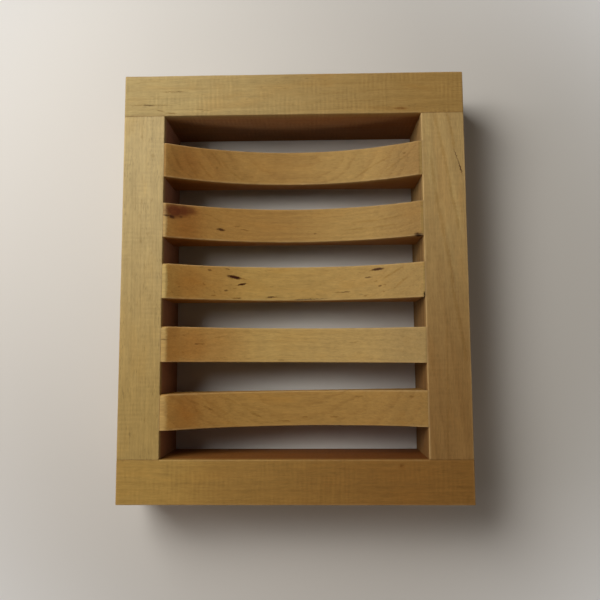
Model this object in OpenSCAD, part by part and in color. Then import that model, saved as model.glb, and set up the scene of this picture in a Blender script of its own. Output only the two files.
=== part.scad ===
// Slatted wooden soap dish.
// Four rails are butted into a frame and pinned with dowels. Five slats with hollowed tops
// bridge the side rails, clear of the surface below, so that the soap lies in the hollow
// and drains through the gaps.
// X runs left to right, Y front to back and Z up. The origin is the middle of the footprint.

/* [Frame] */
// Width of the dish, left to right
frame_w = 100; // [88:1:130]
// Length of the dish, front to back
frame_l = 124.6; // [112:0.2:160]
// Height of the four rails
rail_h = 22; // [20:0.5:28]
// Width of each end rail
end_rail_w = 12.4; // [11.4:0.1:16]
// Width of the left side rail
left_rail_w = 12; // [11:0.1:16]
// Width of the right side rail
right_rail_w = 12.4; // [11:0.1:16]
// Width of the flat that sanding leaves along each edge
arris = 0.3; // [0.1:0.05:0.6]

/* [Slats] */
// Width of each slat
slat_w = 10.2; // [8:0.1:12]
// Height of each slat at its ends
slat_h = 15.2; // [13.5:0.1:18]
// Depth of the hollow at the middle of a slat
hollow_depth = 9.6; // [5:0.1:10]
// Flat top between the hollow and a rail, before the hollow's drift
end_flat = 0.8; // [0.4:0.1:3]

/* [Dowels] */
// Diameter of the dowels
dowel_d = 5; // [4:0.1:5.4]
// Depth of a corner dowel in the end rail
corner_in_end_rail = 8; // [6:0.5:9.5]
// Depth of a corner dowel in the side rail
corner_in_side_rail = 10; // [8:0.5:14]
// Height of a corner dowel's axis above or below the rail's nearest face
corner_dowel_edge = 5.2; // [4:0.1:5.5]
// Depth of a slat dowel in the side rail
slat_in_rail = 7; // [5:0.5:9]
// Depth of a slat dowel in the slat
slat_in_slat = 8; // [6:0.5:12]
// Height of a slat dowel's axis above the slat's underside
slat_dowel_up = 4.7; // [4:0.1:5]
// Room left for glue past each end of a dowel
glue_room = 0.5; // [0.2:0.1:1]
// Glue line between a dowel and its hole
glue_line = 0.05; // [0.02:0.01:0.1]
// Chamfer at the ends of a dowel
dowel_chamfer = 0.6; // [0.2:0.1:1]

/* [Hidden] */
$fn = 64;
wood = [0.82, 0.70, 0.47];
dowel_wood = [0.74, 0.58, 0.38];

// Overrun of every cut past the face that it starts from
overrun = 1;

// Faces and middles of the side rails, and the opening between them
left_face = -frame_w / 2 + left_rail_w;
right_face = frame_w / 2 - right_rail_w;
inner_w = right_face - left_face;
inner_mid = (left_face + right_face) / 2;

// Joint plane between a side rail and an end rail, measured from the middle
joint_y = frame_l / 2 - end_rail_w;

// As built the slats aren't spaced quite evenly, nor quite square to the rails, and the
// hollow drifts to the right from the back slat to the front one. Slat 1 is at the back.
slat_shift_shares = [-0.02, 0.03, 0.085, 0.065, 0.03];
slat_turns = [-0.17, -0.09, -0.07, -0.41, 0.69];
hollow_shift_shares = [-0.3, 0, 0.3, 0.6, 0.85];
slat_count = len(slat_turns);

slat_gap = (2 * joint_y - slat_count * slat_w) / (slat_count + 1);
slat_bottom = rail_h - slat_h;

// Radius of the hollow, from its depth and its width across the slat's top
hollow_half = inner_w / 2 - end_flat;
hollow_r = (hollow_half * hollow_half + hollow_depth * hollow_depth) / (2 * hollow_depth);

function slat_y(i) = joint_y - slat_gap - slat_w / 2 - i * (slat_gap + slat_w)
    + slat_shift_shares[i] * slat_gap;
function face_x(side) = side < 0 ? left_face : right_face;
function rail_mid_x(side) = (face_x(side) + side * frame_w / 2) / 2;
function slat_end_y(i, side) = slat_y(i) + tan(slat_turns[i]) * (face_x(side) - inner_mid);
function corner_dowel_z(level) = level == 0 ? corner_dowel_edge : rail_h - corner_dowel_edge;

// Names of the pieces. A corner is [name, side, end], with 1 for right and for back.
corners = [["back_left", -1, 1], ["back_right", 1, 1], ["front_left", -1, -1], ["front_right", 1, -1]];
levels = ["lower", "upper"];
sides = [["left", -1], ["right", 1]];
function slat_name(i) = str("slat_", i + 1);
function corner_dowel_name(corner, level) = str("corner_dowel_", corner[0], "_", levels[level]);
function slat_dowel_name(i, side) = str("slat_dowel_", i + 1, "_", side[0]);

// Puts its children on a corner dowel's axis, at the joint, pointing into the end rail
module at_corner(side, end, level) {
    translate([rail_mid_x(side), end * joint_y, corner_dowel_z(level)])
        rotate([-90 * end, 0, 0])
            children();
}

// Puts its children on a slat dowel's axis, at the slat's end, pointing into the side rail
module at_slat_end(i, side) {
    translate([face_x(side), slat_end_y(i, side), slat_bottom + slat_dowel_up])
        rotate([0, 90 * side, 0])
            children();
}

// A dowel along Z that reaches ahead and behind by its two depths, with chamfered ends
module dowel(ahead, behind) {
    r = dowel_d / 2;
    neck = r - dowel_chamfer;
    color(dowel_wood)
        rotate_extrude()
            polygon([
                [0, -behind], [neck, -behind], [r, dowel_chamfer - behind],
                [r, ahead - dowel_chamfer], [neck, ahead], [0, ahead]
            ]);
}

// The hole for that dowel, with room for glue around it and past both ends
module dowel_hole(ahead, behind) {
    translate([0, 0, -behind - glue_room])
        cylinder(d = dowel_d + 2 * glue_line, h = ahead + behind + 2 * glue_room);
}

// A bar along Z that planes the sanded flat off an edge on its axis
module edge_cut(edge_l) {
    side = arris * sqrt(2);
    rotate([0, 0, 45])
        cube([side, side, edge_l], center = true);
}
module edge_cut_x(edge_l) { rotate([0, 90, 0]) edge_cut(edge_l); }
module edge_cut_y(edge_l) { rotate([90, 0, 0]) edge_cut(edge_l); }

module corner_holes(side, end) {
    for (level = [0, 1])
        at_corner(side, end, level)
            dowel_hole(corner_in_end_rail, corner_in_side_rail);
}

// An end rail runs the full width and caps the side rails. Only its free edges are eased.
module end_rail(end) {
    outer_y = end * frame_l / 2;
    rail_mid_y = end * (joint_y + end_rail_w / 2);
    color(wood)
        difference() {
            translate([0, rail_mid_y, rail_h / 2])
                cube([frame_w, end_rail_w, rail_h], center = true);
            for (z = [0, rail_h]) {
                translate([0, outer_y, z])
                    edge_cut_x(frame_w + 2 * overrun);
                translate([inner_mid, end * joint_y, z])
                    edge_cut_x(inner_w);
            }
            for (side = [-1, 1]) {
                for (z = [0, rail_h])
                    translate([side * frame_w / 2, rail_mid_y, z])
                        edge_cut_y(end_rail_w);
                translate([side * frame_w / 2, outer_y, rail_h / 2])
                    edge_cut(rail_h + 2 * overrun);
                corner_holes(side, end);
            }
        }
}

// A side rail fits between the end rails and carries the slats
module side_rail(side) {
    rail_w = side * frame_w / 2 - face_x(side);
    color(wood)
        difference() {
            translate([rail_mid_x(side), 0, rail_h / 2])
                cube([abs(rail_w), 2 * joint_y, rail_h], center = true);
            for (x = [side * frame_w / 2, face_x(side)])
                for (z = [0, rail_h])
                    translate([x, 0, z])
                        edge_cut_y(2 * joint_y);
            for (end = [-1, 1])
                corner_holes(side, end);
            for (i = [0:slat_count - 1])
                at_slat_end(i, side)
                    dowel_hole(slat_in_rail, slat_in_slat);
        }
}

// The round cutter that hollows a slat, flared at both faces so that it eases their edges too
module hollow_cutter() {
    face = slat_w / 2;
    rotate([90, 0, 0])
        rotate_extrude($fn = 256)
            polygon([
                [0, -face - overrun], [hollow_r + arris + overrun, -face - overrun],
                [hollow_r, arris - face], [hollow_r, face - arris],
                [hollow_r + arris + overrun, face + overrun], [0, face + overrun]
            ]);
}

// A slat before it is cut to length, with the middle of its underside at the origin
module slat_bar(i) {
    bar_l = inner_w + 2 * overrun;
    hollow_shift = hollow_shift_shares[i] * end_flat;
    difference() {
        translate([0, 0, slat_h / 2])
            cube([bar_l, slat_w, slat_h], center = true);
        translate([hollow_shift, 0, slat_h - hollow_depth + hollow_r])
            hollow_cutter();
        for (y = [-slat_w / 2, slat_w / 2])
            translate([0, y, 0])
                edge_cut_x(bar_l + 2 * overrun);
    }
}

// A slat, turned as it was built and trimmed square against both side rails
module slat(i) {
    color(wood)
        difference() {
            intersection() {
                translate([inner_mid, slat_y(i), slat_bottom])
                    rotate([0, 0, slat_turns[i]])
                        slat_bar(i);
                translate([inner_mid, 0, rail_h / 2])
                    cube([inner_w, 2 * joint_y, rail_h], center = true);
            }
            for (side = [-1, 1])
                at_slat_end(i, side)
                    dowel_hole(slat_in_rail, slat_in_slat);
        }
}

end_rail(1);  // end_rail_back
end_rail(-1);  // end_rail_front
side_rail(-1);  // side_rail_left
side_rail(1);  // side_rail_right
for (i = [0:slat_count - 1])
    slat(i);
for (corner = corners)
    for (level = [0, 1])
        at_corner(corner[1], corner[2], level) dowel(corner_in_end_rail, corner_in_side_rail);
for (i = [0:slat_count - 1])
    for (side = sides)
        at_slat_end(i, side[1]) dowel(slat_in_rail, slat_in_slat);
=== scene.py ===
"""A slatted wooden soap dish: four rails, five hollowed slats and the dowels that pin them.

Sizes are in millimetres until a mesh is made. X runs left to right, Y front to back, Z up.
"""

import logging
import math
from collections.abc import Iterable, Sequence
from dataclasses import dataclass
from enum import Enum

import bpy
import numpy as np
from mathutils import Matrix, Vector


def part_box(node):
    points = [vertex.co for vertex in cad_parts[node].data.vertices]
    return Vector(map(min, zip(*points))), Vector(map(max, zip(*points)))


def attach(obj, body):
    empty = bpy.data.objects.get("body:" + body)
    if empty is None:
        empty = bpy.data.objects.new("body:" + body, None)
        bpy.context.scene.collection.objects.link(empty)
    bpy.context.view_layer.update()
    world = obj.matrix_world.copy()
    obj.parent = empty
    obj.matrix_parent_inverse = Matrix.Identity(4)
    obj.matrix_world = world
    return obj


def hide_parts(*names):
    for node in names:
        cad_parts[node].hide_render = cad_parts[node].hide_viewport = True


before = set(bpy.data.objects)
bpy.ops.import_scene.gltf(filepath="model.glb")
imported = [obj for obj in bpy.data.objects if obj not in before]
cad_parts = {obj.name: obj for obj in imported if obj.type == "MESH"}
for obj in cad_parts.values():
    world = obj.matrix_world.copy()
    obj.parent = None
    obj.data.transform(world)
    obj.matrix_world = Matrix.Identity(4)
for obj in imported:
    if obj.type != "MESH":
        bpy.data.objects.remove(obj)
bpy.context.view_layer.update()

log = logging.getLogger("soap_dish")
MM = 0.001
BODY = "root"

# What several pieces share: the height of the dish, the width of a slat, where the side rails'
# inner faces lie, left and right, and the slats' numbers, from the back
TOP = 22.0
SLAT_WIDTH = 10.2
RAIL_FACES = (-38.0, 37.6)
SLAT_NUMBERS = range(1, 6)


# Colours

def linear(red: float, green: float, blue: float) -> tuple[float, float, float, float]:
    """Turns a colour as seen on a screen into the light values that a shader takes.

    Args:
        red, green, blue: the colour, each from 0 to 255.

    Returns:
        The scene-linear colour with an alpha of 1.
    """
    parts = [c / 255 for c in (red, green, blue)]
    made = [p / 12.92 if p <= 0.04045 else ((p + 0.055) / 1.055) ** 2.4 for p in parts]
    return (made[0], made[1], made[2], 1.0)


class Way(Enum):
    """Which way a piece's length, and so its grain, runs in the dish."""

    ALONG_X = 0
    ALONG_Y = 1

    def placed(self, along: np.ndarray, across: np.ndarray, up: np.ndarray) -> np.ndarray:
        """Stacks distances along, across and up a piece into points of the dish."""
        parts = (along, across, up) if self is Way.ALONG_X else (across, along, up)
        return np.stack(np.broadcast_arrays(*parts), axis=-1)

    @property
    def across(self) -> int:
        """Number of the level axis that lies across this way."""
        return 1 - self.value

    @property
    def quarter_turn(self) -> float:
        """Turn about Z, in radians, from X to this way."""
        return self.value * math.pi / 2

    @classmethod
    def longest(cls, size: np.ndarray) -> "Way":
        """The way in which a level box of this size is longest."""
        return cls(int(size.argmax()))


class Edge(Enum):
    """One of two opposite places in the dish: 0 where X, Y or Z is low and 1 where it is high."""

    @property
    def word(self) -> str:
        """Its word in the nodes' names."""
        return self.name.lower()

    @property
    def sign(self) -> int:
        """-1 on the low side and 1 on the high one."""
        return 2 * self.value - 1


class Side(Edge):
    """Left or right."""

    LEFT = 0
    RIGHT = 1


class End(Edge):
    """Back or front."""

    BACK = 1
    FRONT = 0


class Level(Edge):
    """Lower or upper."""

    LOWER = 0
    UPPER = 1


# Surfaces

def wander(along: np.ndarray, seed: int, wave: float) -> np.ndarray:
    """A smooth wobble that stays between -1 and 1 and is the same on every run.

    It is the sum of three sines, of wavelength wave, wave / 2.3 and wave / 5.1, with shares of
    0.5, 0.3 and 0.2 and with phases drawn from the seed.

    Args:
        along: places along the length.
        seed: picks the phases.
        wave: the longest wavelength.

    Returns:
        The wobble at each place.
    """
    phases = np.random.default_rng(seed).uniform(0, 2 * np.pi, 3)
    waves = wave / np.array([1.0, 2.3, 5.1])
    shares = np.array([0.5, 0.3, 0.2])
    return (shares * np.sin(2 * np.pi * along[..., None] / waves + phases)).sum(-1)


def eased(distance: np.ndarray, reach: float) -> np.ndarray:
    """1 at a distance of zero, falling to 0 at the reach along a smooth S curve."""
    t = np.clip(1 - distance / reach, 0, 1)
    return t * t * (3 - 2 * t)


@dataclass
class Shell:
    """A closed surface.

    Attributes:
        points: its points in millimetres, one row each.
        faces: for each face, the numbers of its points, turning left seen from outside.
    """

    points: np.ndarray
    faces: list[list[int]]

    @classmethod
    def carried(cls, rings: np.ndarray) -> "Shell":
        """Joins closed rings, one after another along a path, and fills the first and last.

        Point j of ring i makes a four-sided face with point j + 1 and the same two points of
        ring i + 1, counted round the ring. A shell that comes out with a negative volume has
        its faces turned over.

        Args:
            rings: points of shape (rings, points in a ring, 3).

        Returns:
            The closed shell, with its faces outwards.
        """
        count, size = rings.shape[:2]
        grid = np.arange(count * size).reshape(count, size)
        beside = np.roll(grid, -1, axis=1)
        quads = np.stack([grid[:-1], beside[:-1], beside[1:], grid[1:]], axis=-1).reshape(-1, 4)
        points = rings.reshape(-1, 3)
        corners = points[quads]
        volume = np.einsum("ij,ij->i", corners[:, 0], np.cross(corners[:, 1], corners[:, 2])).sum()
        volume += np.einsum("ij,ij->i", corners[:, 0], np.cross(corners[:, 2], corners[:, 3])).sum()
        for ring, sign in ((rings[0], -1), (rings[-1], 1)):
            after = np.roll(ring, -1, axis=0)
            volume += sign * np.einsum("j,ij->", ring.mean(0), np.cross(ring, after))
        faces = quads.tolist() + [grid[0, ::-1].tolist(), grid[-1].tolist()]
        return cls(points, [face[::-1] for face in faces] if volume < 0 else faces)

    def mesh(self, name: str) -> bpy.types.Mesh:
        """Makes a Blender mesh of it, in metres.

        Args:
            name: the mesh's name.

        Returns:
            The mesh.
        """
        made = bpy.data.meshes.new(name)
        made.from_pydata((self.points * MM).tolist(), [], self.faces)
        made.validate()
        made.update()
        return made


@dataclass
class Section:
    """A rectangle with four round corners, one for each station along a bar.

    The corners are numbered low-low, high-low, high-high and low-high, as the ring turns.

    Attributes:
        lows: the low sides, across and up, of shape (stations, 2).
        highs: the high sides, of the same shape.
        radii: the corner radii, of shape (stations, 4).
        arc_steps: faces round each corner.
        spare: extra points on the level sides and on the upright sides.
        near: distances from each corner's round at which every side gets a point.
    """

    lows: np.ndarray
    highs: np.ndarray
    radii: np.ndarray
    arc_steps: int = 5
    spare: tuple[int, int] = (5, 7)
    near: tuple[float, ...] = (0.12, 0.45)

    def rings(self) -> np.ndarray:
        """Works out the rings.

        A corner's point is its centre plus the radius times (cos, sin) of an angle that goes
        through a quarter turn, and its centre is the radius in from both sides. A side's
        points lie on the line from one corner's last point to the next one's first.

        Returns:
            Points of shape (stations, points in a ring, 2).
        """
        middle, half = (self.lows + self.highs) / 2, (self.highs - self.lows) / 2
        signs = np.array([(-1, -1), (1, -1), (1, 1), (-1, 1)])
        arcs = []
        for k, sign in enumerate(signs):
            radius = self.radii[:, k, None, None]
            centre = (middle + sign * half)[:, None, :] - sign * radius
            angle = np.linspace(0, np.pi / 2, self.arc_steps + 1) + np.pi * (1 + k / 2)
            arcs.append(centre + radius * np.stack([np.cos(angle), np.sin(angle)], axis=-1))
        near = np.array(self.near)
        parts = []
        for k in range(4):
            start, end = arcs[k][:, -1:], arcs[(k + 1) % 4][:, :1]
            length = np.linalg.norm(end - start, axis=-1)
            inner = np.linspace(0, 1, self.spare[k % 2] + 2)[1:-1]
            places = np.concatenate(
                [
                    near / length,
                    (near[-1] + inner * (length - 2 * near[-1])) / length,
                    1 - near[::-1] / length,
                ],
                axis=1,
            )
            parts += [arcs[k], start + (end - start) * places[..., None]]
        return np.concatenate(parts, axis=1)


@dataclass
class Stations:
    """Places along a bar at which it gets a ring, with its two ends rounded over.

    Attributes:
        low, high: the bar's two ends.
        rounds: radius of the rounding at each end.
        spacing: distance between plain stations.
        extra: other places that need a ring.
        arc_rings: rings round the rounding.
        face_rings: how far in past the rounding two rings lie on each end face.
        past: how far past the rounding two more rings stand.
        margin: room that is kept between those and the plain stations.
        closest: a station nearer to the one before it than this is left out.
    """

    low: float
    high: float
    rounds: tuple[float, float]
    spacing: float = 2.0
    extra: Sequence[float] | np.ndarray = ()
    arc_rings: int = 5
    face_rings: tuple[float, float] = (0.7, 0.2)
    past: tuple[float, float] = (0.13, 0.45)
    margin: float = 0.04
    closest: float = 0.035

    def worked(self) -> tuple[np.ndarray, np.ndarray]:
        """Works out the places, and how far in from the bar's sides each ring lies.

        Round an end the ring goes through a quarter circle: it lies radius * (1 - cos) from
        the end and radius * (1 - sin) in from the sides.

        Returns:
            The places and the insets, from the low end to the high one.
        """
        angle = np.linspace(0, np.pi / 2, self.arc_rings)
        steps, insets = [], []
        for radius in self.rounds:
            face, past = radius + np.array(self.face_rings), radius + np.array(self.past)
            steps.append(np.concatenate([[0, 0], radius * (1 - np.cos(angle)), past]))
            insets.append(np.concatenate([face, radius * (1 - np.sin(angle)), [0, 0]]))
        low, high = self.low + steps[0][-1], self.high - steps[1][-1]
        count = max(2, int(round((high - low) / self.spacing)))
        body = np.concatenate([np.linspace(low, high, count + 1)[1:-1], np.array(self.extra, float)])
        body = body[(body > low + self.margin) & (body < high - self.margin)]
        body = np.unique(np.round(body, 3))
        body = body[np.concatenate([[True], np.diff(body) > self.closest])]
        places = np.concatenate([self.low + steps[0], body, (self.high - steps[1])[::-1]])
        return places, np.concatenate([insets[0], np.zeros(len(body)), insets[1][::-1]])


def round_bar(places: np.ndarray, radii: np.ndarray, steps: int = 48) -> np.ndarray:
    """Circles along a straight line: (place, radius * cos, radius * sin) of an even angle.

    Args:
        places: where each circle stands, of shape (circles,).
        radii: the radius at each place, of shape (circles,) or (circles, steps).
        steps: points in a circle.

    Returns:
        Distances along, across and up, of shape (circles, steps, 3).
    """
    angle = np.linspace(0, 2 * np.pi, steps, endpoint=False)
    radii = np.broadcast_to(radii.reshape(len(places), -1), (len(places), steps))
    along = np.broadcast_to(places[:, None], radii.shape)
    return np.stack([along, radii * np.cos(angle), radii * np.sin(angle)], axis=-1)


@dataclass(frozen=True)
class Bore:
    """A blind hole that a dowel sits in.

    Attributes:
        mouth: the middle of its mouth.
        way: which way it runs.
        depth: its depth, negative where it runs towards the low side.
        radius: its radius.
    """

    mouth: tuple[float, float, float]
    way: Way
    depth: float
    radius: float

    def shell(self) -> Shell:
        """The drill's own shape, a round bar that begins a millimetre before the mouth.

        Returns:
            The closed shell of the drill.
        """
        sign = math.copysign(1, self.depth)
        bar = round_bar(np.array([-sign, 0.2 * sign, self.depth]), np.full(3, self.radius))
        return Shell.carried(self.way.placed(bar[..., 0], bar[..., 1], bar[..., 2]) + self.mouth)


# Shading

class Graph:
    """The node tree of one material or world, built in code."""

    def __init__(self, owner: bpy.types.Material | bpy.types.World) -> None:
        """Takes over the owner's nodes, from an empty tree.

        Args:
            owner: the material or world.
        """
        owner.use_nodes = True
        self.tree = owner.node_tree
        self.tree.nodes.clear()

    def node(
        self,
        kind: str,
        settings: dict[str, object] | None = None,
        sockets: dict[str | int, object] | None = None,
        out: str | int = 0,
    ) -> "Sock":
        """Makes a node.

        Args:
            kind: the node's type, without its ShaderNode prefix.
            settings: what is set on the node itself, before its sockets.
            sockets: values or links of its inputs.
            out: the output that is wanted.

        Returns:
            That output, or the node's first one.
        """
        made = self.tree.nodes.new("ShaderNode" + kind)
        for key, value in (settings or {}).items():
            setattr(made, key, value)
        for key, value in (sockets or {}).items():
            if isinstance(value, Sock):
                self.tree.links.new(value.socket, made.inputs[key])
            else:
                made.inputs[key].default_value = value
        return Sock(self, made.outputs[out] if len(made.outputs) else None)

    def vector(self, operation: str, first: object, second: object = None, out: str | int = 0) -> "Sock":
        """Vector Math on one or two vectors."""
        given = {0: first} if second is None else {0: first, 1: second}
        return self.node("VectorMath", {"operation": operation}, given, out)

    def seen_from(
        self,
        at: "Sock",
        place: Sequence[float] = (0, 0, 0),
        turn: Sequence[float] = (0, 0, 0),
        size: Sequence[float] = (1, 1, 1),
    ) -> "Sock":
        """A point as seen from a place that is turned, in units of a size along each axis."""
        sockets = {"Vector": at, "Location": place, "Rotation": turn, "Scale": size}
        return self.node("Mapping", {"vector_type": "TEXTURE"}, sockets)

    def noise(
        self, at: "Sock", long: float, wide: float, detail: float = 2, rough: float = 0.5, warp: float = 0
    ) -> "Sock":
        """Soft noise, about 0.5 on average.

        Args:
            at: the point.
            long, wide: size of its lumps along X, and along Y and Z.
            detail, rough, warp: the noise's own settings.

        Returns:
            The noise at the point.
        """
        lumps = self.seen_from(at, size=(long, wide, wide))
        sockets = {"Vector": lumps, "Scale": 1.0, "Detail": detail, "Roughness": rough, "Distortion": warp}
        return self.node("TexNoise", None, sockets, "Fac")

    def years(self, age: "Sock") -> "Sock":
        """Soft noise of a plain value, about 0.5 on average and of unit size."""
        return self.node("TexNoise", {"noise_dimensions": "1D"}, {"W": age, "Scale": 1.0}, "Fac")

    def along(self, point: "Sock") -> "Sock":
        """How far along X a point lies."""
        return self.node("SeparateXYZ", None, {0: point}, "X")

    def ramp(self, value: "Sock", low: float, high: float, to_low: float = 0, to_high: float = 1) -> "Sock":
        """Value taken from low to high onto to_low to to_high, smoothly and no further."""
        sockets = {"Value": value, "From Min": low, "From Max": high, "To Min": to_low, "To Max": to_high}
        return self.node("MapRange", {"interpolation_type": "SMOOTHSTEP"}, sockets)

    def blend(self, factor: object, first: object, second: object, kind: str = "MIX") -> "Sock":
        """Mixes two colours by a factor."""
        settings = {"data_type": "RGBA", "blend_type": kind}
        return self.node("Mix", settings, {0: factor, 6: first, 7: second}, 2)

    def tinted(self, colour: "Sock", value: "Sock") -> "Sock":
        """A colour times a plain value."""
        return self.blend(1.0, colour, value, "MULTIPLY")

    def shaded(self, colour: "Sock", mask: "Sock", left: Sequence[float]) -> "Sock":
        """A colour of which only a share is left where a mask is 1."""
        return self.blend(1.0, colour, self.blend(mask, (1, 1, 1, 1), left), "MULTIPLY")

    def attribute(self, name: str) -> "Sock":
        """A number that the mesh holds at its points."""
        return self.node("Attribute", {"attribute_name": name}, None, "Fac")

    def seen(self) -> "Sock":
        """1 on rays from the camera, gloss or glass, and 0 on light on its way to a surface."""
        eye, gloss, glass = (
            self.node("LightPath", out=f"Is {ray} Ray") for ray in ("Camera", "Glossy", "Transmission")
        )
        return eye.over(gloss).over(glass)


@dataclass(frozen=True)
class Sock:
    """An output of a node that takes part in sums."""

    graph: Graph
    socket: bpy.types.NodeSocket | None

    def _math(self, operation: str, first: object, second: object = 0.0, clamp: bool = False) -> "Sock":
        """Adds a Math node for an operation on this output and another value."""
        settings = {"operation": operation, "use_clamp": clamp}
        return self.graph.node("Math", settings, {0: first, 1: second})

    def __add__(self, other: object) -> "Sock":
        """self + other."""
        return self._math("ADD", self, other)

    def __sub__(self, other: object) -> "Sock":
        """self - other."""
        return self._math("SUBTRACT", self, other)

    def __rsub__(self, other: object) -> "Sock":
        """other - self."""
        return self._math("SUBTRACT", other, self)

    def __mul__(self, other: object) -> "Sock":
        """self * other."""
        return self._math("MULTIPLY", self, other)

    def __truediv__(self, other: object) -> "Sock":
        """self / other."""
        return self._math("DIVIDE", self, other)

    def __pow__(self, other: object) -> "Sock":
        """self to the power of other."""
        return self._math("POWER", self, other)

    __radd__ = __add__
    __rmul__ = __mul__

    def over(self, other: object) -> "Sock":
        """The larger of this and another value."""
        return self._math("MAXIMUM", self, other)

    def fraction(self) -> "Sock":
        """What is left of it above the next lower whole number."""
        return self._math("FRACT", self)

    def wave(self) -> "Sock":
        """Its sine."""
        return self._math("SINE", self)

    def kept(self) -> "Sock":
        """This value, held between 0 and 1."""
        return self._math("ADD", self, 0.0, True)


class Kind(Enum):
    """What a mark in the wood is: the share of red, green and blue that it leaves, and its dent."""

    FLECK = ((0.13, 0.05, 0.02), 0.4)
    # Faint marks; broad ones near a slat's left end are painted shade
    FAINT = ((0.60, 0.52, 0.38), 0.08)
    LINE = ((0.84, 0.79, 0.68), 0.03)
    CRACK = ((0.07, 0.04, 0.03), 1.0)
    STAIN = ((0.35, 0.20, 0.22), 0.0)
    # Warm spots in the wood; broad ones on the left of a slat's hollow are painted shade, away from the
    # lamp
    BLUSH = ((0.74, 0.56, 0.42), 0.0)
    # Painted shade: darker and greyer near each slat's right end
    DULL = ((0.68, 0.68, 0.74), 0.0)
    # Pale streaks; on the slats' right flats a painted highlight, and broad patches painted light
    BRIGHT = ((1.24, 1.38, 1.48), 0.0)
    # Painted highlight on the slats' left flats
    PALE = ((1.32, 1.7, 2.6), 0.0)

    @property
    def left(self) -> tuple[float, float, float, float]:
        """Share of each colour that is left at the mark's middle."""
        return (*self.value[0], 1.0)

    @property
    def dent(self) -> float:
        """How deep it dents the surface, from 0 to 1."""
        return self.value[1]


@dataclass(frozen=True)
class Mark:
    """A mark at its own place: an ellipsoid with a ragged skin. Some are the wood's own, some painted light
    and shade.

    Attributes:
        kind: what it is.
        x, y: its middle in the dish.
        length, width: its full size along and across.
        turn: its turn in degrees, left from X.
        z: height of its middle.
        strength: share of the kind's own strength.
        soft: share of its size over which it fades.
        depth: half its height.
        skin: distance from its middle, in half sizes, past which nothing of it shows.
    """

    kind: Kind
    x: float
    y: float
    length: float
    width: float
    turn: float = 0
    z: float = TOP
    strength: float = 1.0
    soft: float = 0.75
    depth: float = 2.5
    skin: float = 1.25

    def mask(self, graph: Graph, at: Sock) -> Sock:
        """How much of the mark shows at a point.

        Args:
            graph: the material's nodes.
            at: the point.

        Returns:
            The strength near the mark's middle, falling to 0 at its skin.
        """
        size = (self.length / 2, self.width / 2, self.depth)
        near = graph.seen_from(at, (self.x, self.y, self.z), (0, 0, math.radians(self.turn)), size)
        far = graph.vector("LENGTH", near, out="Value")
        return graph.ramp(far, self.skin - self.soft, self.skin, self.strength, 0)


# How marks fade: painted highlights on a slat's flat, and painted light and shade that drift over much of a
# piece
FLAT = {"soft": 0.6, "depth": 0.5}
BROAD = {"soft": 1.1, "depth": 8}


def spots(kind: Kind, *rows: tuple[float, ...], **shared: float) -> tuple[Mark, ...]:
    """Marks of one kind, from rows of x, y, length, width, turn, height and strength."""
    return tuple(Mark(kind, *row, **shared) for row in rows)


def trail(kind: Kind, width: float, strength: float, *places: tuple[float, ...]) -> tuple[Mark, ...]:
    """Marks that overlap, end to end, along a line.

    A mark between two places is 1.5 times as long as they are apart and turned by the angle
    whose tangent is their distance front to back over that left to right.

    Args:
        kind: what they are.
        width: how wide.
        strength: how strong.
        places: places on the line, with x and y and, if it isn't the top, the height.

    Returns:
        The marks.
    """
    made = []
    for start, end in zip(places, places[1:]):
        (x0, y0, z0), (x1, y1, z1) = ((*place, TOP)[:3] for place in (start, end))
        length = 1.5 * math.hypot(x1 - x0, y1 - y0)
        turn = math.degrees(math.atan2(y1 - y0, x1 - x0))
        middle = (x0 + x1) / 2, (y0 + y1) / 2
        height = (z0 + z1) / 2
        made.append(Mark(kind, *middle, length, width, turn, height, strength, soft=1.0, depth=4.0))
    return tuple(made)


class Figure(Enum):
    """The soft noises that the wood's look is made of.

    Each holds the length and width of its lumps in millimetres and, where they aren't the
    usual ones, its detail, roughness and warp.
    """

    FIBRE = (12, 0.62, 3, 0.6)
    SPECK = (2.0, 0.36, 3, 0.6)
    PATCH = (17, 5, 2, 0.5, 0.4)
    SILK = (2.2, 5, 2, 0.5, 0.5)
    MOTTLE = (4.5, 1.5, 2, 0.5, 0.3)
    PORES = (1.9, 0.3, 1)
    PORE_FIELDS = (9, 2.5, 1)
    RING_BENDS = (26, 7)
    RING_WOBBLE = (5, 1.3)
    RING_BREAKS = (6, 1.1, 2, 0.6)
    RIPPLE_SHIFT = (14, 4, 1)
    RIPPLE_LINES = (0.6, 6, 2, 0.6)
    RIPPLE_FIELDS = (9, 5, 1)
    END_PORES = (0.5, 0.22)
    WEAR = (3.1, 0.9)

    def noise(self, g: Graph, own: Sock) -> Sock:
        """This noise at a point of a piece's own wood."""
        return g.noise(own, *self.value)


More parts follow.
